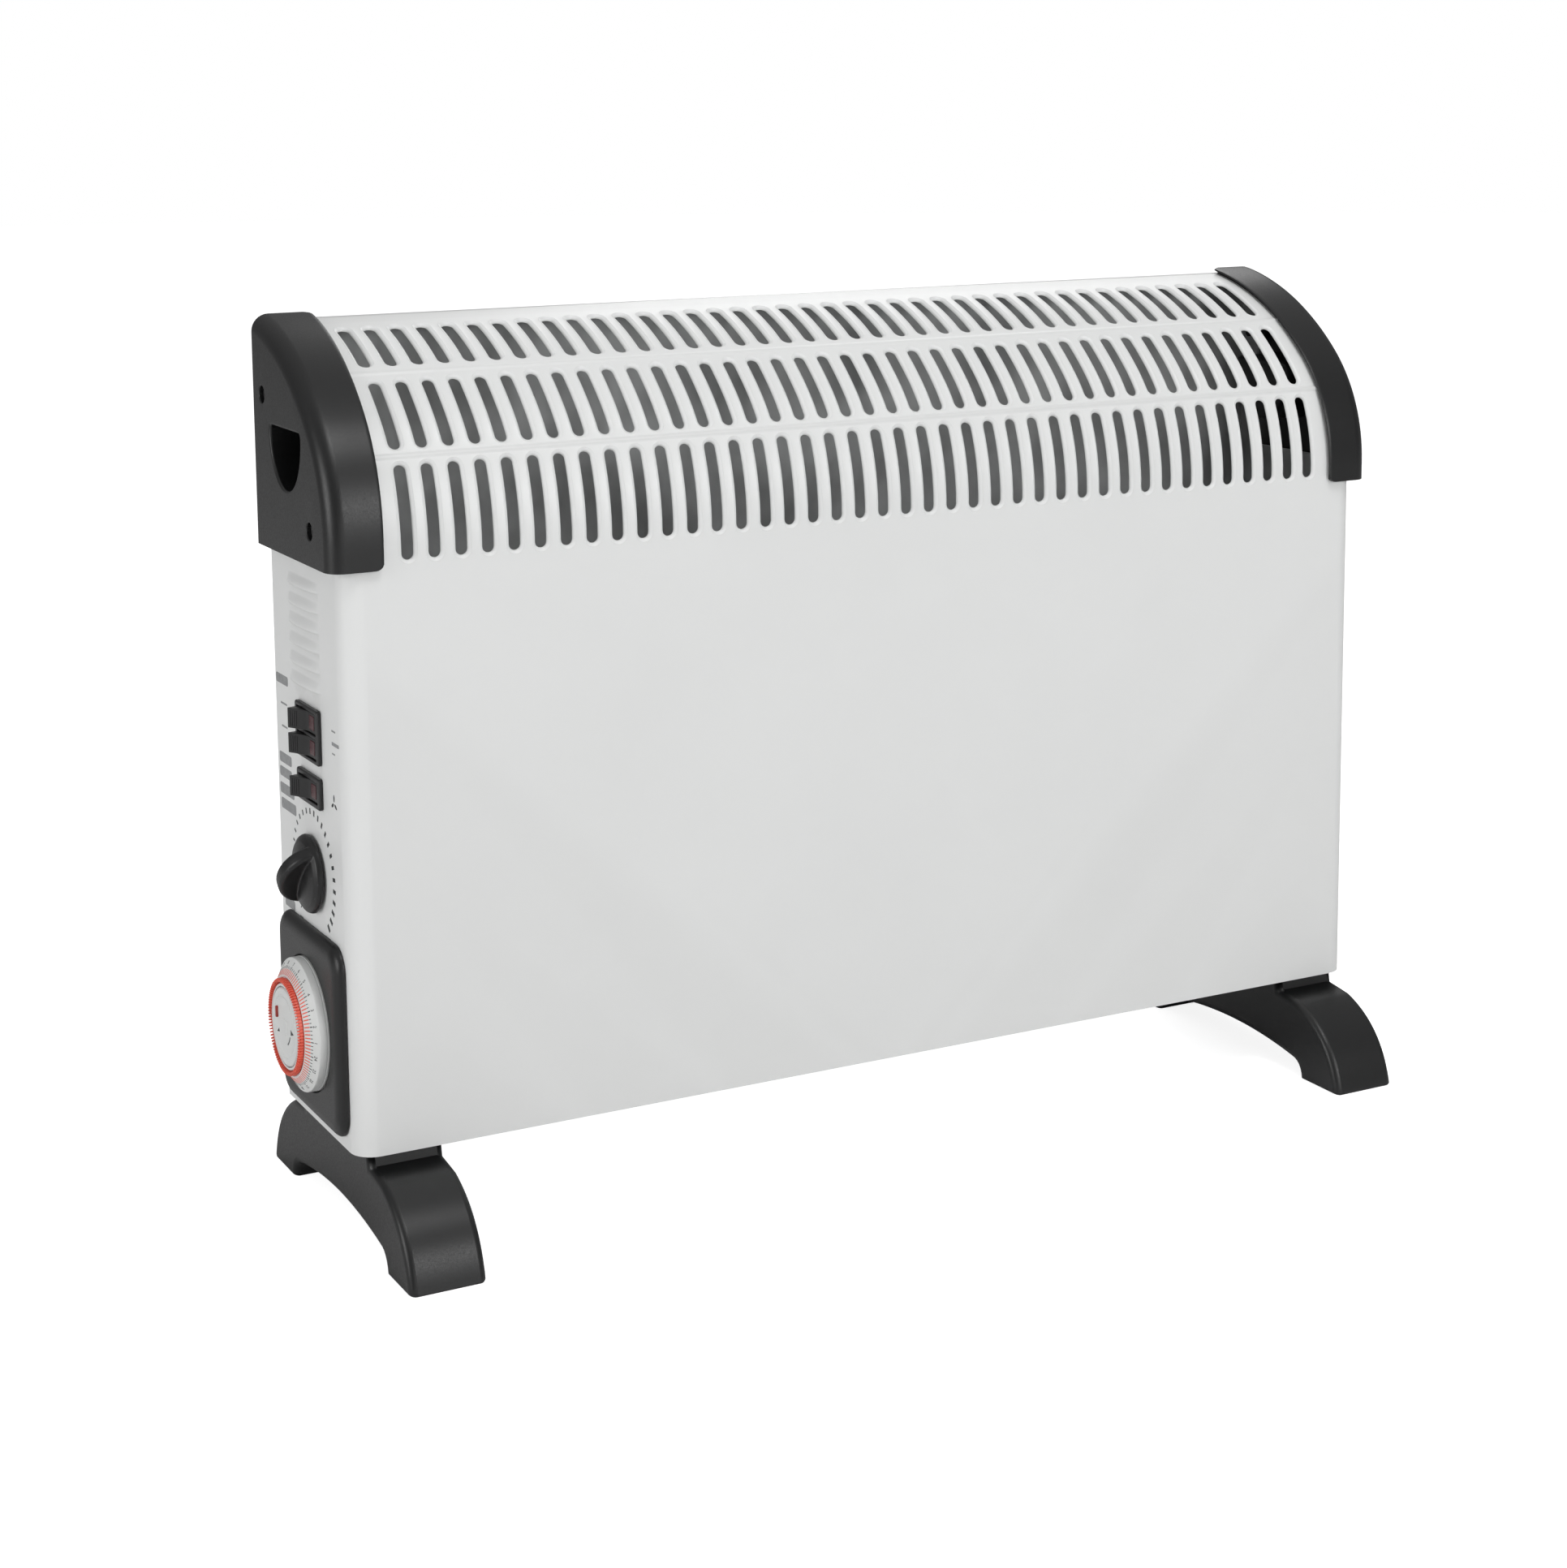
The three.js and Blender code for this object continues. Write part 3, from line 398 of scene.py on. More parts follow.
SLOT_MATERIALS = {
    "white_paint": WHITE, "charcoal_plastic": CHARCOAL, "black_plastic": BLACK, "zinc_sheet": ZINC,
    "plated_steel": PLATED, "aluminium": ALUMINIUM, "ceramic": CERAMIC, "dial_plastic": DIAL,
    "red_plastic": RED, "copper_winding": COPPER, "cream_moulding": CREAM,
}


# --- pieces ---
def piece(name, bm, body, slot, nodes=(), matrix=IDENTITY, materials=None, bevel=None, solid=None, angle=32,
          weld=0.004, remesh=None, smooth=None, weighted=True):
    """Makes a mesh in body millimetres into a piece. bevel is (width, segments, limit). solid is a sheet
    thickness laid on the inner side, with an optional second material for that side."""
    if weld:
        bmesh.ops.remove_doubles(bm, verts=bm.verts, dist=weld)
    bm.transform(WORLD @ matrix)
    if matrix.determinant() < 0:
        bmesh.ops.reverse_faces(bm, faces=bm.faces)
    mesh = bpy.data.meshes.new(name)
    bm.to_mesh(mesh)
    bm.free()
    for material in materials or [SLOT_MATERIALS[slot]]:
        mesh.materials.append(material)
    obj = add_object(name, mesh)
    if solid:
        sheet = obj.modifiers.new("thickness", "SOLIDIFY")
        sheet.thickness = solid[0] * MM
        sheet.offset = -1
        if len(solid) > 1:
            sheet.material_offset = solid[1]
    if bevel:
        edges = obj.modifiers.new("bevel", "BEVEL")
        edges.width = bevel[0] * MM
        edges.segments = bevel[1]
        limit = bevel[2] if len(bevel) > 2 else angle
        edges.limit_method = "WEIGHT" if limit == "weight" else "ANGLE"
        if limit != "weight":
            edges.angle_limit = math.radians(limit)
    if remesh:
        voxels = obj.modifiers.new("remesh", "REMESH")
        voxels.mode = "VOXEL"
        voxels.voxel_size = remesh * MM
        voxels.use_smooth_shade = True
    if smooth:
        relax = obj.modifiers.new("relax", "SMOOTH")
        relax.factor = 0.5
        relax.iterations = smooth
    mesh.shade_smooth()
    mesh.set_sharp_from_angle(angle=math.radians(angle))
    if weighted and not remesh:
        normals = obj.modifiers.new("normals", "WEIGHTED_NORMAL")
        normals.keep_sharp = True
        normals.weight = 60
    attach(obj, body)
    if nodes:
        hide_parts(*nodes)
    return obj


def print_piece(name, bm, body, slot, ink, matrix=IDENTITY):
    piece(name, bm, body, slot, (), matrix, materials=[ink], weld=0, weighted=False)


# --- casing ---
# The creases between the slot rows stand up a little, and the sheet sinks a little between them.
CREASES = (39.7, 86.7)
RIDGES = tuple(zip(CREASES, (0.75, 0.40)))
RIDGE_HALF = 1.4
HOLLOWS = tuple(zip((0.0, *CREASES), (*CREASES, SKIN_END), (0.42, 0.42, 0.16)))
SLOT_HALF, SLOT_PITCH, SLOT_COUNT = 2.75, 12.5, 40
SLOT_ROWS = ((-6.3, 36.0), (43.5, 81.5), (92.0, 126.7))
SLOT_ROLL, SLOT_SINK, SLOT_LIP, SLOT_BEAD = 2.0, 1.5, 0.1, 0.16


def skin(length, creased=True):
    """The casing's outer face at an arc length above the first bend: point (y, z) and outward normal."""
    if length <= 0:
        return (0.0, BEND_START + length), (-1.0, 0.0)
    centre = (FRONT_RADIUS, BEND_START)
    radius, turn = FRONT_RADIUS, length / FRONT_RADIUS
    if length > FRONT_ARC:
        reach = TOP_RADIUS - FRONT_RADIUS
        centre = (centre[0] + reach * math.cos(FRONT_ANGLE), centre[1] - reach * math.sin(FRONT_ANGLE))
        radius, turn = TOP_RADIUS, FRONT_ANGLE + (length - FRONT_ARC) / TOP_RADIUS
    drop = 0.0
    for low, high, depth in HOLLOWS:
        if creased and low < length < high:
            t = (length - low) / (high - low)
            drop = depth * 4 * t * (1 - t)
    for middle, height in RIDGES:
        if creased and abs(length - middle) < RIDGE_HALF:
            drop -= height * (1 - ((length - middle) / RIDGE_HALF) ** 2)
    normal = (-math.cos(turn), math.sin(turn))
    radius -= drop
    return (centre[0] + radius * normal[0], centre[1] + radius * normal[1]), normal


def on_skin(x, length, height):
    (y, z), (ny, nz) = skin(length)
    return Vector((x, y + height * ny, z + height * nz))


def rolled_slot(half, low, high, cx, width, depth, lip, bead=0.0):
    """The rings of a slot's rim: an optional raised bead round it, the roll, and a short lip down inside."""
    sizes = [(d, -h) for d, h in roll(width, 4, depth)] + [(0, -depth - lip)]
    if bead:
        sizes.insert(1, (width * 0.8, bead))
    return [(stadium(half, low, high, d, cx), h) for d, h in sizes]


def spread(low, high, step):
    count = max(1, round((high - low) / step))
    return [low + (high - low) * i / count for i in range(count + 1)]


EDGE_X = HALF_WIDTH - EDGE_RADIUS
# Heights along the arc at which the casing's mesh has a row of points.
SKIN_LEVELS = sorted(
    {-BEND_START, -200.0, -130.0, -60.0, -14.0, 0.0}
    | {round(v, 3) for low, high in SLOT_ROWS
       for v in spread(low + SLOT_HALF, high - SLOT_HALF, (high - low - 2 * SLOT_HALF) / 8)}
    | {round(c + d, 3) for c in CREASES for d in (-1.4, -0.9, -0.4, 0, 0.4, 0.9, 1.4)}
    | {84.6, 89.0, 129.8, 134.0, 138.0, 141.5, SKIN_END}
)


LOUVRE_FROM, LOUVRE_TO, LOUVRE_HEIGHT, LOUVRE_PROUD = 31.0, 73.0, 5.0, 2.6
LOUVRE_TOPS = [253.5 - 8.95 * i for i in range(6)]
LOUVRE_STEPS, LOUVRE_ROWS = 20, 6


def add_louvre(bm, top, place):
    """A hood pressed out of the wall: its upper edge stays in the wall and its lower edge stands clear."""
    middle, half = -(LOUVRE_FROM + LOUVRE_TO) / 2, (LOUVRE_TO - LOUVRE_FROM) / 2
    grid = []
    for j in range(LOUVRE_ROWS + 1):
        t = j / LOUVRE_ROWS
        row = []
        for i in range(LOUVRE_STEPS + 1):
            s = -1 + 2 * i / LOUVRE_STEPS
            lens = max(0.0, 1 - s * s) ** 0.55
            out = LOUVRE_PROUD * lens * math.sin(t * math.pi / 2) ** 1.3
            row.append(bm.verts.new(place(middle + half * s, top - LOUVRE_HEIGHT * t, out)))
        grid.append(row)
    for upper, lower in zip(grid, grid[1:]):
        for i in range(LOUVRE_STEPS):
            bm.faces.new((lower[i], lower[i + 1], upper[i + 1], upper[i]))


# Place, width and height of the openings behind the switches and the timer.
WALL_OPENINGS = ((SWITCH_FROM_FRONT, HEAT_SWITCH_UP, 28.6, 24.0),
                 (SWITCH_FROM_FRONT, FAN_SWITCH_UP, 28.6, 13.4), (*DIAL_CENTRE, 59, 59))


def casing_shell():
    bm = bmesh.new()
    left = [(-EDGE_X, s) for s in reversed(SKIN_LEVELS)]
    right = [(EDGE_X, s) for s in SKIN_LEVELS]
    across = spread(-EDGE_X, EDGE_X, 2 * EDGE_X / 44)[1:-1]
    outline = ([(x, -BEND_START) for x in across] + right
               + [(x, SKIN_END) for x in reversed(across)] + left)
    lines = [((-EDGE_X, s), (EDGE_X, s)) for s in SKIN_LEVELS
             if -14 <= s < SKIN_END and not any(a - 2 < s < b + 2 for a, b in SLOT_ROWS)]
    holes = []
    for low, high in SLOT_ROWS:
        for i in range(SLOT_COUNT):
            cx = (i - (SLOT_COUNT - 1) / 2) * SLOT_PITCH
            holes.append(rolled_slot(SLOT_HALF, low, high, cx, SLOT_ROLL, SLOT_SINK, SLOT_LIP, SLOT_BEAD))
    panel(bm, [(outline, 0.0)], holes, lines=lines, place=on_skin)

    levels = [s + BEND_START for s in SKIN_LEVELS if s <= 0]
    corner = [math.radians(90 * i / 8) for i in range(9)]
    for side in (-1, 1):
        columns = []
        for turn in corner:
            x = side * (EDGE_X + EDGE_RADIUS * math.sin(turn))
            y = EDGE_RADIUS * (1 - math.cos(turn))
            columns.append([bm.verts.new((x, y, z)) for z in levels])
        for a, b in zip(columns, columns[1:]):
            for i in range(len(levels) - 1):
                quad = (a[i], b[i], b[i + 1], a[i + 1])
                bm.faces.new(quad if side > 0 else tuple(reversed(quad)))

    # Right wall: u towards the back.
    outline = [(EDGE_RADIUS, z) for z in reversed(levels)] + [(DEPTH, 0.0), (DEPTH, BEND_START)]
    place = matrix_place(ACROSS @ Matrix.Translation((0, 0, HALF_WIDTH)))
    panel(bm, [(outline, 0.0)], place=place)

    # Left wall: u towards the front, with the openings of the controls and the louvres.
    outline = [(-DEPTH, 0.0)] + [(-EDGE_RADIUS, z) for z in levels] + [(-DEPTH, BEND_START)]
    place = matrix_place(LEFT_WALL)
    holes = []
    for from_front, up, width, height in WALL_OPENINGS:
        holes.append([(rounded_rectangle(width, height, 0.6, 2, -from_front, up), 0.0)])
    holes.append([(circle(5.6, 24, -KNOB_CENTRE[0], KNOB_CENTRE[1]), 0.0)])
    for top in LOUVRE_TOPS:
        row = [-LOUVRE_TO + (LOUVRE_TO - LOUVRE_FROM) * i / LOUVRE_STEPS for i in range(LOUVRE_STEPS + 1)]
        rows = [top - LOUVRE_HEIGHT * j / LOUVRE_ROWS for j in range(LOUVRE_ROWS + 1)]
        loop = [(u, rows[-1]) for u in row] + [(row[-1], v) for v in reversed(rows[1:-1])]
        loop += [(u, top) for u in reversed(row)] + [(row[0], v) for v in rows[1:-1]]
        holes.append([(loop, 0.0)])
    panel(bm, [(outline, 0.0)], holes, place=place)
    for top in LOUVRE_TOPS:
        add_louvre(bm, top, place)
    return bm


piece("casing_shell", casing_shell(), "heater", "white_paint", ["casing"], materials=[WHITE, INNER_SHADE_SHEET],
      solid=(SHEET, 1), weld=0.01)

# --- end caps ---
CAP_INNER, CAP_OUTER, CAP_BOTTOM = 255.5, 280.5, 262.5
CAP_GROW, CAP_ROUND, CAP_WALL = 2.7, 8.0, 2.6
CAP_CORNER, CAP_FLARE, CAP_REAR_CORNER = 4.0, 3.4, 3.0
GRIP_MIDDLE, GRIP_HALF, GRIP_TOP, GRIP_DROP, GRIP_CORNER, GRIP_DEPTH = 53.0, 21.0, 319.5, 25.0, 2.5, 26.0
CAP_SCREWS, CAP_SCREW_DEPTH = ((23.0, 278.0), (84.0, 332.0)), 4


def grip_loop(grow):
    """The hand grip's outline in y and z: a flat top with small corners over half an ellipse."""
    base = GRIP_TOP - GRIP_CORNER
    loop = []
    for i in range(25):
        t = math.radians(180 + 180 * i / 24)
        loop.append((GRIP_MIDDLE + (GRIP_HALF + grow) * math.cos(t), base + (GRIP_DROP + grow) * math.sin(t)))
    for side in (1, -1):
        cx = GRIP_MIDDLE + side * (GRIP_HALF - GRIP_CORNER)
        for i in range(1 if side > 0 else 0, 5 if side > 0 else 4):
            t = math.radians(90 * i / 4 + (0 if side > 0 else 90))
            loop.append((cx + (GRIP_CORNER + grow) * math.cos(t), base + (GRIP_CORNER + grow) * math.sin(t)))
    return loop


def end_cap():
    bm = bmesh.new()
    section = [(CAP_INNER, CAP_GROW - 0.9), (CAP_INNER + 0.25, CAP_GROW - 0.3), (CAP_INNER + 0.9, CAP_GROW)]
    section += [(CAP_INNER + x, CAP_GROW) for x in (1.8, 2.8, 4.0, 9.0)]
    for i in range(9):
        t = math.radians(90 * i / 8)
        section.append((CAP_OUTER - CAP_ROUND + CAP_ROUND * math.sin(t),
                        CAP_GROW - CAP_ROUND + CAP_ROUND * math.cos(t)))
    stations = [CAP_BOTTOM - BEND_START, -3.5, 0.0] + spread(0, SKIN_END - 3, 3.6)[1:]
    stations += [SKIN_END - 1.5, SKIN_END]
    rings = []
    for n, length in enumerate(stations):
        (y, z), (ny, nz) = skin(length, creased=False)
        ring = []
        flare = CAP_FLARE * min(1.0, max(0.0, length / SKIN_END)) ** 1.2
        past = max(0.0, length - (SKIN_END - CAP_REAR_CORNER))
        flare -= CAP_REAR_CORNER - math.sqrt(CAP_REAR_CORNER ** 2 - past ** 2)
        for x, grow in section:
            x -= flare * max(0.0, 1 - (x - CAP_INNER) / 9)
            py, pz = y + grow * ny, z + grow * nz
            if n == 0 and x < CAP_INNER + CAP_CORNER:
                gap = CAP_INNER + CAP_CORNER - x
                pz += CAP_CORNER - math.sqrt(CAP_CORNER ** 2 - gap ** 2)
            if n == len(stations) - 1:
                py = DEPTH
            ring.append(bm.verts.new((x, py, pz)))
        rings.append(ring)
    for low, high in zip(rings, rings[1:]):
        for i in range(len(section) - 1):
            bm.faces.new((low[i], low[i + 1], high[i + 1], high[i]))
    rim = [(v.co.y, v.co.z) for v in (ring[-1] for ring in rings)]
    outline = [(DEPTH, CAP_BOTTOM)] + list(reversed(rim))
    holes = [[(grip_loop(d), CAP_OUTER - h) for d, h in roll(1.2)]
             + [(grip_loop(0), CAP_OUTER - GRIP_DEPTH + 1.5), (grip_loop(-0.5), CAP_OUTER - GRIP_DEPTH + 0.4),
                (grip_loop(-1.5), CAP_OUTER - GRIP_DEPTH), "fill"]]
    for y, z in CAP_SCREWS:
        holes.append([(circle(4 + d, 28, y, z), CAP_OUTER - h) for d, h in roll(0.6, 3)]
                     + [(circle(4, 28, y, z), CAP_OUTER - 3.9), "fill"])
    panel(bm, [(outline, CAP_OUTER)], holes, place=matrix_place(ACROSS), flat=CAP_OUTER)
    return bm


for side, _, matrix in SIDES:
    piece(f"{side}_cap_moulding", end_cap(), "heater", "charcoal_plastic", [f"{side}_end_cap"], matrix,
          solid=(CAP_WALL,), bevel=(0.5, 2, 55), weld=0.01)


# --- feet ---
FOOT_CENTRE, FOOT_WIDTH, FLOOR_Z = 250.75, 35.5, -47.5
FOOT_SCREW_YS, FOOT_SCREW_Z = (28, 68), -20


def quadratic(a, control_point, b, steps):
    points = []
    for i in range(1, steps + 1):
        t = i / steps
        k = ((1 - t) ** 2, 2 * t * (1 - t), t * t)
        points.append(tuple(k[0] * p + k[1] * q + k[2] * r for p, q, r in zip(a, control_point, b)))
    return points


def foot_loop():
    """The foot's side outline in y and z: half of it as distances from the middle, then its mirror image."""
    crest, neck = (59.6, -7.8), (44.4, -5.8)
    half = [(63.0, FLOOR_Z), (93.4, FLOOR_Z), (94.2, FLOOR_Z + 0.9)]
    half += quadratic(half[-1], (87.9, -17.7), crest, 22)
    half += quadratic(crest, (50.4, -6.5), neck, 5)
    half.append((43.2, 0.5))
    arch = quadratic((0.0, -33.35), (28.0, -33.4), (55.0, -38.7), 10)
    arch += quadratic((55.0, -38.7), (62.0, -39.5), (63.0, FLOOR_Z), 6)[:-1]
    right = [(DEPTH / 2 + x, z) for x, z in arch + half]
    left = [(DEPTH / 2 - x, z) for x, z in reversed(arch + half)]
    return left + [(DEPTH / 2, -33.35)] + right


def foot():
    bm = bmesh.new()
    weight = bm.edges.layers.float.new("bevel_weight_edge")
    prism(bm, foot_loop(), -FOOT_WIDTH / 2, FOOT_WIDTH / 2, matrix_place(ACROSS))
    for edge in bm.edges:
        a, b = (v.co for v in edge.verts)
        if abs(a.x - b.x) < 0.01:
            on_floor = max(a.z, b.z) < FLOOR_Z + 0.01
            edge[weight] = 0.25 if on_floor or min(a.z, b.z) > -1 else 1.0
    return bm


for side, sign, _ in SIDES:
    piece(f"{side}_foot_moulding", foot(), "heater", "charcoal_plastic", [f"{side}_foot"],
          Matrix.Translation((sign * FOOT_CENTRE, 0, 0)), bevel=(4.5, 6, "weight"), angle=40)


# --- rocker switches ---
BEZEL_TOP, BEZEL_FOOT = 2.1, 0.3
ROCKER_HALF, ROCKER_MIDDLE, ROCKER_RISE, ROCKER_TILT = 11.6, 2.8, 2.7, math.radians(14.5)


def domed_edge(width, height, corner, radius, top, foot, drop=None, steps=5):
    """Rings of a plate's rounded edge: from its flat top outwards and down to its foot."""
    drop = drop or radius
    inner = max(corner - radius, 0.2)
    rings = []
    for i in range(steps + 1):
        t = math.radians(90 * i / steps)
        d = radius * math.sin(t)
        size = (width - 2 * radius + 2 * d, height - 2 * radius + 2 * d)
        rings.append((rounded_rectangle(*size, inner + d), top - drop * (1 - math.cos(t))))
    rings.append((rounded_rectangle(width, height, inner + radius), foot))
    return rings


def switch_housing(width, height, rockers):
    bm = bmesh.new()
    holes = []
    for v in rockers:
        holes.append([(rounded_rectangle(26 + 2 * d, 9.9 + 2 * d, 0.5 + d, 4, 0, v), BEZEL_TOP - h)
                      for d, h in roll(0.35, 3)]
                     + [(rounded_rectangle(26, 9.9, 0.5, 4, 0, v), -8.8), "fill"])
    panel(bm, domed_edge(width, height, 1.6, 0.8, BEZEL_TOP, BEZEL_FOOT), holes, flat=BEZEL_TOP)
    block(bm, -(width - 3) / 2, (width - 3) / 2, -(height - 1.6) / 2, (height - 1.6) / 2, -20, BEZEL_FOOT)
    for x in (-9, 0, 9):
        block(bm, x - 2.4, x + 2.4, -0.4, 0.4, -27, -19.9)
    return bm


def rocker_top(x):
    return ROCKER_MIDDLE + ROCKER_RISE * (abs(x) / ROCKER_HALF) ** 1.25


def rocker_profile():
    """The side of a rocker: a shallow V on top and a rounded belly."""
    half = [(3.0, -5.0), (8.5, -1.4), (ROCKER_HALF, 2.0)]
    loop = [(-x, z) for x, z in reversed(half)] + half
    for i in range(13):
        x = ROCKER_HALF - 2 * ROCKER_HALF * i / 12
        loop.append((x, rocker_top(x)))
    return loop


HEAT_ROCKERS, FAN_ROCKERS = (("upper_heat_rocker", 5.7), ("lower_heat_rocker", -5.7)), (("fan_rocker", 0.0),)
SWITCHES = (("heat_switch_housing", HEAT_SWITCH_UP, 25.0, HEAT_ROCKERS),
            ("fan_switch_housing", FAN_SWITCH_UP, 14.4, FAN_ROCKERS))
for housing, up, height, rockers in SWITCHES:
    bm = switch_housing(31.0, height, [v for _, v in rockers])
    piece(f"{housing}_moulding", bm, "heater", "black_plastic", [housing], control(SWITCH_FROM_FRONT, up),
          bevel=(0.2, 2, 60))
    for name, v in rockers:
        tilt = Matrix.Rotation(ROCKER_TILT, 4, "Y")
        spot = control(SWITCH_FROM_FRONT, up + v) @ Matrix.Translation((0, 0, -1)) @ tilt
        sideways = spot @ basis((1, 0, 0), (0, 0, 1), (0, -1, 0), (0, 0, 0))
        bm = bmesh.new()
        prism(bm, rocker_profile(), -4.6, 4.6)
        for x in (-10.2, -9.0, -7.8, -6.6):
            block(bm, x - 0.25, x + 0.25, rocker_top(x) - 0.5, rocker_top(x) + 0.28, -3.6, 3.6)
        piece(f"{name}_key", bm, name, "black_plastic", [name], sideways, bevel=(0.4, 3, 35), angle=35)
        bm = bmesh.new()
        lean = math.atan2(2.0, 8.0)
        lens = basis((math.cos(lean), 0, math.sin(lean)), (0, 1, 0), (-math.sin(lean), 0, math.cos(lean)),
                     (5.6, 0, 3.86))
        panel(bm, domed_edge(6.4, 6.6, 0.9, 0.35, 0.32, -0.4, steps=3), flat=0.32)
        piece(f"{name}_lamp", bm, name, "red_plastic", (), spot @ lens, materials=[DARK_RED])


# --- thermostat knob ---
def knob():
    bm = bmesh.new()
    lathe(bm, [(0, 0.9), (17.2, 0.9), (18.0, 1.5), (18.0, 2.6), (17.3, 4.0), (15.2, 5.4), (11.0, 6.6),
               (5.0, 7.3), (0, 7.4)], 72)
    turns = [math.radians(a) for a in range(0, 181, 6)]
    arch = [(17.2 * math.cos(t), 2.0 + 14.8 * math.sin(t)) for t in turns]
    stand = basis((0, 1, 0), (0, 0, 1), (1, 0, 0), (0, 0, 0))
    rings = []
    for w, inset in ((-3.4, 1.6), (-3.1, 0.7), (-2.2, 0.1), (0, 0), (2.2, 0.1), (3.1, 0.7), (3.4, 1.6)):
        ring = []
        for u, v in arch:
            reach = math.hypot(u, v - 2.0) or 1.0
            ring.append((u * (1 - inset / reach), 2.0 + (v - 2.0) * (1 - inset / reach), w))
        rings.append(ring)
    loft(bm, rings, place=matrix_place(stand))
    return bm


piece("thermostat_knob_moulding", knob(), "thermostat", "black_plastic", ["thermostat_knob"],
      control(*KNOB_CENTRE) @ Matrix.Rotation(math.radians(-39), 4, "Z"), remesh=0.35, smooth=5, angle=180)


# --- timer ---
TIMER_FRAME, DIAL_SPOT = control(*FRAME_CENTRE), control(*DIAL_CENTRE)
WELL_RADIUS, WELL_BOTTOM, SHAFT_RADIUS = 31.2, 1.7, 20
SLOPE_LOW, SLOPE_HIGH = (29.4, 9.6), (23.2, 13.6)
PIN_COUNT = 96


def timer_frame():
    bm = bmesh.new()
    cx, cy = FRAME_CENTRE[0] - DIAL_CENTRE[0], DIAL_CENTRE[1] - FRAME_CENTRE[1]
    well = [(WELL_RADIUS + d, 5.0 - h) for d, h in roll(0.6, 3)]
    well += [(WELL_RADIUS, WELL_BOTTOM + 0.3), (WELL_RADIUS - 0.6, WELL_BOTTOM)]
    well += [(SHAFT_RADIUS, WELL_BOTTOM), (SHAFT_RADIUS, 0.3)]
    well = [(circle(radius, 72, cx, cy), height) for radius, height in well]
    panel(bm, domed_edge(82.5, 88.0, 11.0, 7.0, 5.0, 0.3, drop=4.2, steps=8), [well], flat=5.0)
    return bm


piece("timer_frame_moulding", timer_frame(), "heater", "charcoal_plastic", ["timer_frame"], TIMER_FRAME,
      angle=40)


DIAL_PROFILE = (
    (5.0, 2.2), (30.0, 2.2), (30.5, 2.7), (30.5, 5.2), (30.3, 5.35), (30.3, 5.75), (30.5, 5.9), (30.5, 8.6),
    (30.3, 9.1), (29.9, 9.4), SLOPE_LOW, SLOPE_HIGH, (23.0, 13.7), (22.4, 13.6), (22.3, 12.9), (19.7, 12.9),
    (19.6, 14.9), (19.3, 15.2), (18.5, 15.2), (18.4, 13.6), (5.0, 13.6), (5.0, 2.2),
)
piece("timer_dial_moulding", turned(DIAL_PROFILE, 144), "timer_dial", "dial_plastic", ["timer_dial"],
      DIAL_SPOT, angle=25)


def pins():
    """Tripper pins round the dial, on a narrow ring that ties their feet together."""
    bm = bmesh.new()
    lathe(bm, [(20.4, 13.0), (21.7, 13.0), (21.7, 14.9), (20.4, 14.9), (20.4, 13.0)], 96)
    for i in range(PIN_COUNT):
        turn = Matrix.Rotation(2 * math.pi * i / PIN_COUNT, 4, "Z")
        outline = [(20.3, -0.34), (22.1, -0.38), (22.1, 0.38), (20.3, 0.34)]
        top = [(20.5, -0.20), (21.7, -0.24), (21.7, 0.24), (20.5, 0.20)]
        loft(bm, [[(u, v, 13.9) for u, v in outline], [(u, v, 15.7) for u, v in outline],
                  [(u, v, 16.2) for u, v in top]], place=matrix_place(turn))
    return bm


piece("timer_pins", pins(), "timer_dial", "red_plastic", ["timer_pin_ring"], DIAL_SPOT, weld=0)


def text_faces(bm, text, size, matrix, depth=0.06):
    """Adds lettering as thin closed solids lying on the plane of matrix."""
    curve = bpy.data.curves.new("figure", "FONT")
    curve.body = text
    curve.size = size
    curve.align_x = "CENTER"
    curve.align_y = "CENTER"
    curve.extrude = depth / 2
    curve.resolution_u = 3
    holder = add_object("figure", curve)
    mesh = bpy.data.meshes.new_from_object(holder.evaluated_get(bpy.context.evaluated_depsgraph_get()))
    mesh.transform(matrix)
    bm.from_mesh(mesh)
    bpy.data.meshes.remove(mesh)
    bpy.data.objects.remove(holder)
    bpy.data.curves.remove(curve)


def dial_print(red):
    """The sloping ring's print: red bars below the pins, or dark quarter-hour ticks and hour figures."""
    bm = bmesh.new()
    run = Vector((SLOPE_LOW[0] - SLOPE_HIGH[0], 0, SLOPE_LOW[1] - SLOPE_HIGH[1])).normalized()
    across = Vector((0, 1, 0))
    out = run.cross(across)
    start = Vector((SLOPE_HIGH[0], 0, SLOPE_HIGH[1])) + out * 0.015
    for i in range(PIN_COUNT):
        turn = Matrix.Rotation(2 * math.pi * i / PIN_COUNT, 4, "Z")
        hour = i % 4 == 0
        low, high, half = (0.1, 3.1, 0.28) if red else (3.3, 4.8, 0.22) if hour else (3.3, 4.4, 0.16)
        block(bm, low, high, -half, half, -0.03, 0.03, matrix_place(turn @ basis(run, across, out, start)))
        if hour and not red:
            text_faces(bm, str(i // 4 + 1), 2.4, turn @ basis(-across, run, out, start + run * 6.0))
    return bm


print_piece("timer_dial_print", dial_print(False), "timer_dial", "black_plastic", INK, DIAL_SPOT)
print_piece("timer_dial_red_print", dial_print(True), "timer_dial", "red_plastic", RED, DIAL_SPOT)


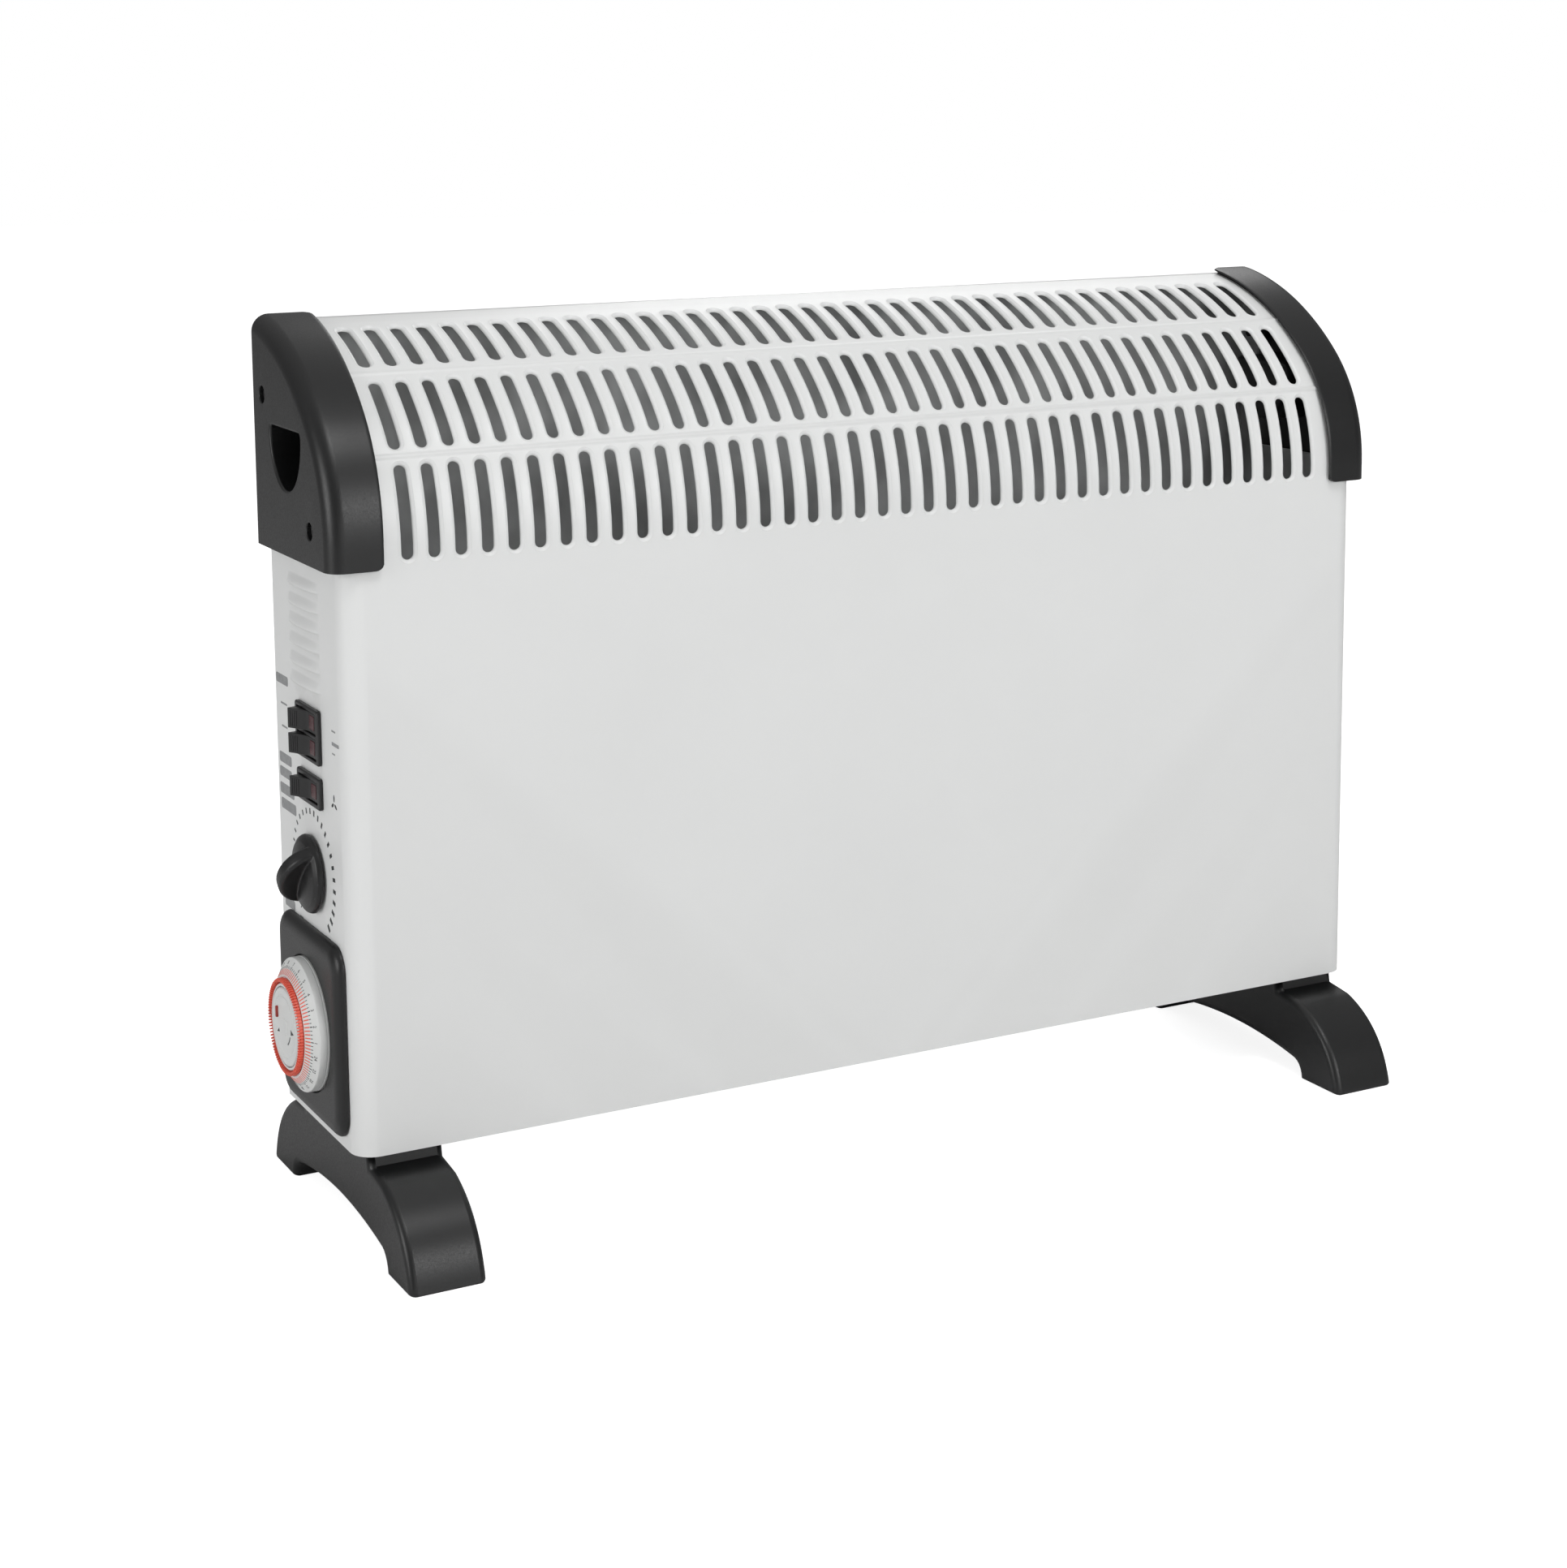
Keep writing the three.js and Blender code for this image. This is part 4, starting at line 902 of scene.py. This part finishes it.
CENTRE_PROFILE = (
    (0, 14.0), (17.6, 14.0), (17.9, 14.3), (17.9, 15.0), (17.5, 15.5), (16.9, 15.6), (14.6, 15.6),
    (14.4, 15.35), (13.9, 15.35), (13.7, 15.6), (4.0, 15.6), (3.7, 15.9), (1.6, 16.0), (0, 16.0),
)
piece("timer_centre_moulding", turned(CENTRE_PROFILE, 96), "heater", "dial_plastic", ["timer_centre_disc"],
      DIAL_SPOT, angle=25)


def centre_print():
    bm = bmesh.new()
    for angle, inner, outer, half in ((0, 9.2, 13.2, 1.3), (150, 8.0, 11.5, 0.9), (205, 8.0, 11.5, 0.9)):
        turn = Matrix.Rotation(math.radians(angle), 4, "Z")
        prism(bm, [(outer, 0), (inner, half), (inner, -half)][::-1], 15.6, 15.66, matrix_place(turn))
    arc = [math.radians(a) for a in range(-58, -14, 4)]
    loop = [(8.6 * math.cos(t), 8.6 * math.sin(t)) for t in arc]
    loop += [(7.9 * math.cos(t), 7.9 * math.sin(t)) for t in reversed(arc)]
    prism(bm, loop[::-1], 15.6, 15.66)
    return bm


print_piece("timer_centre_print", centre_print(), "heater", "black_plastic", INK, DIAL_SPOT)


SEAT_PROFILE = ((0, 14.9), (3.2, 14.9), (3.4, 15.1), (3.4, 15.5), (3.1, 15.75), (0, 15.8))


def override_bar():
    bm = bmesh.new()
    rings = []
    for h, inset in ((15.6, 0.0), (16.3, 0.0), (16.7, 0.12), (16.8, 0.35)):
        loop = rounded_rectangle(1.7 - 2 * inset, 5.4 - 2 * inset, 0.8 - inset, 4)
        rings.append([(u, v, h) for u, v in loop])
    loft(bm, rings)
    return bm


OVERRIDE_SPOT = DIAL_SPOT @ Matrix.Translation((-8.5, 5, 0))
piece("timer_override_seat", turned(SEAT_PROFILE, 40), "timer_override", "dial_plastic", (), OVERRIDE_SPOT,
      angle=40)
piece("timer_override_bar", override_bar(), "timer_override", "red_plastic", ["timer_override_lever"],
      OVERRIDE_SPOT, angle=40, materials=[DEEP_RED])


# --- printing on the control end ---
def printed(loops, name, material):
    """Thin ink areas on the left wall, each a loop in that wall's u and v."""
    bm = bmesh.new()
    for loop in loops:
        prism(bm, loop, 0.0, 0.05, matrix_place(LEFT_WALL))
    print_piece(name, bm, "heater", "black_plastic", material)


TICK_COUNT, TICK_RADIUS, TICK_START, TICK_SWEEP = 26, 28.1, 227, 274.6


def tick_ring():
    """The thermostat's scale: ticks that grow clockwise."""
    loops = []
    for i in range(TICK_COUNT):
        share = i / (TICK_COUNT - 1)
        angle = math.radians(TICK_START - TICK_SWEEP * share)
        length = 1.7 + 2.0 * share
        half = 0.34 + 0.70 * share
        along, side = (math.cos(angle), math.sin(angle)), (-math.sin(angle), math.cos(angle))
        loop = []
        for a, b in ((-1, -1), (1, -1), (1, 1), (-1, 1)):
            r, t = TICK_RADIUS + a * length / 2, b * half
            loop.append((-KNOB_CENTRE[0] + r * along[0] + t * side[0],
                         KNOB_CENTRE[1] + r * along[1] + t * side[1]))
        loops.append(loop)
    return loops


printed(tick_ring(), "thermostat_scale_print", INK)

# Plain tiles and marks beside the controls, each with its place and then its width and height.
TILES = ((86.5, 200.4, 17.0, 4.4), (84.8, 163.4, 17.0, 4.8), (85.0, 156.6, 17.0, 4.6),
         (83.8, 148.7, 20.0, 5.0), (82.3, 141.6, 21.0, 5.0), (84.8, 95.2, 14.0, 4.6))
MARKS = ((84.7, 189.3, 9.0, 0.9), (84.6, 178.5, 8.0, 0.9), (14.5, 184.3, 9.0, 1.6), (16.5, 190.0, 5.0, 0.8),
         (17.0, 179.8, 4.0, 0.7), (68.4, 92.8, 4.4, 1.2), (32.0, 92.4, 7.0, 1.4))
FAN_SIGN = (18.3, 157.3)
printed([rounded_rectangle(w, h, 1.2, 4, -y, z) for y, z, w, h in TILES], "control_tiles_print", GREY_INK)
printed([rounded_rectangle(w, h, 0.3, 2, -y, z) for y, z, w, h in MARKS], "control_marks_print", GREY_INK)


def fan_sign():
    """A three-bladed fan sign."""
    loops = []
    for turn in (90, 210, 330):
        t = math.radians(turn)
        cx, cy = 2.3 * math.cos(t) - FAN_SIGN[0], 2.3 * math.sin(t) + FAN_SIGN[1]
        blade = [(1.7 * u, 0.75 * v) for u, v in circle(1, 14)]
        loops.append([(cx + u * math.cos(t) - v * math.sin(t), cy + u * math.sin(t) + v * math.cos(t))
                      for u, v in blade])
    return loops


printed(fan_sign(), "control_signs_print", INK)

# --- back panel and base ---
BACK_OUTSIDE, BACK_HALF, BACK_BOTTOM, BACK_TOP, BACK_FLANGE = 94.5, 272.8, 0.6, 362.0, 14.0
BEND = 1.2
BACK_INLETS = [((i - 9.5) * 17, 45.0, 79.0) for i in range(20)]
BASE_INLETS = [((i - 5.5) * 33, y) for i in range(12) for y in (29, 65)]
INLET_WIDTH, INLET_DEPTH, INLET_CORNER = 16, 24, 1.5
BACK_SCREW_XS, BACK_SCREW_Z = (-250, -85, 85, 250), 8.0
GLAND_X, GLAND_Z, GLAND_HOLE = -190.0, 34.0, 7.0
# u towards -X, v up and w straight out of the back.
BEHIND = basis((-1, 0, 0), (0, 0, 1), (0, 1, 0), (0, BACK_OUTSIDE, 0))
BASE_BOTTOM, BASE_FRONT, BASE_BACK, BASE_HALF, BASE_FLANGE, BASE_CHAMFER = 0.8, 1.6, 92.8, 271.0, 14.0, 7.8
# u towards +X, v towards the front and w straight down.
BELOW = basis((1, 0, 0), (0, -1, 0), (0, 0, -1), (0, 0, BASE_BOTTOM))


def folded_edge(bm, a, b, outwards, reach, place):
    """A flange folded back from the edge a-b of a panel, with a small bend."""
    rows = []
    for i in range(6):
        t = math.radians(90 * i / 5)
        rows.append((BEND * math.sin(t), -BEND * (1 - math.cos(t))))
    rows.append((BEND, -reach))
    made = []
    for shift, drop in rows:
        x, y = (side * shift for side in outwards)
        made.append([bm.verts.new(place(u + x, v + y, drop)) for u, v in (a, b)])
    for low, high in zip(made, made[1:]):
        bm.faces.new((low[0], low[1], high[1], high[0]))


def hole(radius, cx, cy, count=24):
    return [(circle(radius + d, count, cx, cy), -h) for d, h in roll(0.3, 2)]


def back_sheet():
    bm = bmesh.new()
    place = matrix_place(BEHIND)
    edge = BACK_HALF - BEND
    outline = [(-edge, BACK_BOTTOM), (edge, BACK_BOTTOM), (edge, BACK_TOP), (-edge, BACK_TOP)]
    holes = [rolled_slot(3.5, low, high, cx, 1.3, 0.9, 0.1) for cx, low, high in BACK_INLETS]
    holes += [hole(2.2, x, BACK_SCREW_Z) for x in BACK_SCREW_XS]
    holes.append(hole(GLAND_HOLE, -GLAND_X, GLAND_Z, 40))
    panel(bm, [(outline, 0.0)], holes, place=place)
    folded_edge(bm, (edge, BACK_TOP), (edge, BACK_BOTTOM), (1, 0), BACK_FLANGE, place)
    folded_edge(bm, (-edge, BACK_BOTTOM), (-edge, BACK_TOP), (-1, 0), BACK_FLANGE, place)
    return bm


piece("back_panel_sheet", back_sheet(), "heater", "white_paint", ["back_panel"], materials=[WHITE, INNER_SHADE_SHEET],
      solid=(SHEET, 1), weld=0.01)


def base_sheet():
    bm = bmesh.new()
    place = matrix_place(BELOW)
    front, back = -BASE_FRONT - BEND, -BASE_BACK + BEND
    corner = BASE_HALF - BASE_CHAMFER
    outline = [(-BASE_HALF, back), (BASE_HALF, back), (BASE_HALF, front - BASE_CHAMFER),
               (corner, front), (-corner, front), (-BASE_HALF, front - BASE_CHAMFER)]
    holes = []
    for cx, y in BASE_INLETS:
        rim = []
        for d, h in roll(0.5, 3):
            size = (INLET_WIDTH + 2 * d, INLET_DEPTH + 2 * d)
            rim.append((rounded_rectangle(*size, INLET_CORNER + d, 4, cx, -y), -h))
        holes.append(rim)
    for side in (-1, 1):
        holes += [hole(2.4, side * FOOT_CENTRE, -y) for y in FOOT_SCREW_YS]
    panel(bm, [(outline, 0.0)], holes, place=place)
    folded_edge(bm, (corner, front), (-corner, front), (0, 1), BASE_FLANGE, place)
    folded_edge(bm, (-BASE_HALF, back), (BASE_HALF, back), (0, -1), BASE_FLANGE, place)
    return bm


piece("base_panel_sheet", base_sheet(), "heater", "zinc_sheet", ["base_panel"], solid=(SHEET,), weld=0.01)


# --- screws ---
SCREW_GAP, HEAD_HEIGHT = 0.3, 2.05
# Head radius, shank radius and length.
BACK_SCREW, FOOT_SCREW, CAP_SCREW = (3.6, 1.7, 7), (4.4, 1.9, 28), (3.5, 1.7, 10)


def screw(head, shank, length):
    """A pan-head screw along -w, with a cross recess and a thread."""
    bm = bmesh.new()
    profile = [(0, -length), (shank * 0.35, -length + 0.2)]
    pitch, root = 0.9, shank - 0.45
    for i in range(int((length - 2) / pitch)):
        base = -length + 0.8 + i * pitch
        profile += [(root, base), (shank - 0.02, base + pitch * 0.4), (root, base + pitch * 0.8)]
    profile += [(shank - 0.3, -0.6), (shank, -0.1), (shank, 0.0), (head - 0.15, 0.0), (head, 0.15),
                (head, 0.8), (head * 0.97, 1.3), (head * 0.86, 1.75), (head * 0.66, HEAD_HEIGHT)]
    lathe(bm, profile, 32)
    rim = circle(head * 0.66, 32)
    arm, half = head * 0.52, head * 0.13
    quarter = [(arm, -half), (arm, half), (half, half)]
    cross = []
    for cos, sin in ((1, 0), (0, 1), (-1, 0), (0, -1)):
        cross += [(cos * u - sin * v, sin * u + cos * v) for u, v in quarter]
    recess = [(cross, HEAD_HEIGHT), ([(0.55 * u, 0.55 * v) for u, v in cross], 0.8), "fill"]
    panel(bm, [(rim, HEAD_HEIGHT)], [recess], flat=HEAD_HEIGHT)
    return bm


def add_screw(name, size, spot, finish=PLATED):
    piece(f"{name}_steel", screw(*size), "heater", "plated_steel", [name], spot, [finish], weld=0.001)


for i, x in enumerate(BACK_SCREW_XS):
    spot = basis((-1, 0, 0), (0, 0, 1), (0, 1, 0), (x, BACK_OUTSIDE + SCREW_GAP, BACK_SCREW_Z))
    add_screw(f"back_screw_{i + 1}", BACK_SCREW, spot)
for side, sign, mirror in SIDES:
    for end, y in zip(("front", "back"), FOOT_SCREW_YS):
        spot = basis((1, 0, 0), (0, -1, 0), (0, 0, -1), (sign * FOOT_CENTRE, y, FOOT_SCREW_Z - SCREW_GAP))
        add_screw(f"{side}_foot_screw_{end}", FOOT_SCREW, spot)
    for end, (y, z) in zip(("lower", "upper"), CAP_SCREWS):
        spot = basis((0, 1, 0), (0, 0, 1), (1, 0, 0), (CAP_OUTER - CAP_SCREW_DEPTH + SCREW_GAP, y, z))
        add_screw(f"{side}_cap_screw_{end}", CAP_SCREW, mirror @ spot, NEAR_BLACK_STEEL)

# --- floor, light and camera ---
SKY_SIDES, SKY_TOP = 0.22, 0.50
FLOOR_RADIUS = 9
# Name, place, aim, size in metres and watts of each light.
LIGHTS = (
    ("low", (-0.2, -2.4, 0.4), (0, 0, 0.2), (2.0, 0.7), 4.5),
    ("key", (0.6, -2.2, 1.05), (0, 0, 0.1), (0.9, 0.7), 12.5),
    ("over", (0.0, -0.9, 2.0), (0, 0, 0.1), (0.8, 0.5), 9.5),
    ("rear", (1.1, 1.5, 1.6), (0, 0, 0.3), (1.0, 0.8), 7.0),
    ("left", (-2.3, -0.3, 0.7), (0, 0, 0.2), (1.0, 1.0), 14.5),
)


def studio():
    disc = bmesh.new()
    bmesh.ops.create_circle(disc, cap_ends=True, radius=FLOOR_RADIUS, segments=128)
    mesh = bpy.data.meshes.new("studio_floor")
    disc.to_mesh(mesh)
    disc.free()
    mesh.materials.append(FLOOR_MATERIAL)
    floor = add_object("studio_floor", mesh)
    world = bpy.data.worlds.new("studio")
    bpy.context.scene.world = world
    world.use_nodes = True
    nodes, links = world.node_tree.nodes, world.node_tree.links
    background = nodes["Background"]
    split = nodes.new("ShaderNodeSeparateXYZ")
    links.new(nodes.new("ShaderNodeTexCoord").outputs["Generated"], split.inputs["Vector"])
    sky = map_range(nodes, links, split.outputs["Z"], SKY_SIDES, SKY_TOP, (0.35, 0.9))
    seen = nodes.new("ShaderNodeMath")
    seen.operation = "MAXIMUM"
    links.new(sky, seen.inputs[0])
    links.new(nodes.new("ShaderNodeLightPath").outputs["Is Camera Ray"], seen.inputs[1])
    background.inputs["Color"].default_value = (1, 1, 1, 1)
    links.new(seen.outputs[0], background.inputs["Strength"])


def area_light(name, location, target, size, power):
    data = bpy.data.lights.new(name, "AREA")
    data.shape = "RECTANGLE"
    data.size, data.size_y = size
    data.energy = power
    light = add_object(name, data)
    light.location = location
    light.rotation_euler = (Vector(target) - Vector(location)).to_track_quat("-Z", "Y").to_euler()


CAMERA_ANGLES, CAMERA_SPOT = (-27.883, 8.008, -0.462), (-0.6640, -1.2001, 0.5223)
CAMERA_LENS, CAMERA_SHIFT = 65.571828, -0.20


def set_camera(azimuth, elevation, roll_angle, location, lens, shift):
    """Looks along +Y at azimuth 0, and from the +X side as it grows; the angles are in degrees."""
    a, e, r = (math.radians(v) for v in (azimuth, elevation, roll_angle))
    back = Vector((math.sin(a) * math.cos(e), -math.cos(a) * math.cos(e), math.sin(e)))
    right = (-back).cross(Vector((0, 0, 1))).normalized()
    up = back.cross(right)
    turned_right = right * math.cos(r) + up * math.sin(r)
    turned_up = up * math.cos(r) - right * math.sin(r)
    data = bpy.data.cameras.new("camera")
    camera = add_object("camera", data)
    rows = [[turned_right[i], turned_up[i], back[i], location[i]] for i in range(3)]
    camera.matrix_world = Matrix(rows + [[0, 0, 0, 1]])
    data.sensor_fit = "HORIZONTAL"
    data.sensor_width = 36
    data.lens = lens
    data.shift_y = shift
    data.clip_end = 50
    bpy.context.scene.camera = camera


bpy.context.scene.view_settings.view_transform = "Standard"
studio()
for light in LIGHTS:
    area_light(*light)
set_camera(*CAMERA_ANGLES, CAMERA_SPOT, CAMERA_LENS, CAMERA_SHIFT)

# --- finishes of the CAD nodes that stay ---
node_slots = {entry["node"]: entry["material_slot"] for entry in frame["record"]["subparts"]}
for name, node in frame["nodes"].items():
    if node.hide_render:
        continue
    node.data.materials.clear()
    node.data.materials.append(SLOT_MATERIALS[node_slots[name]])
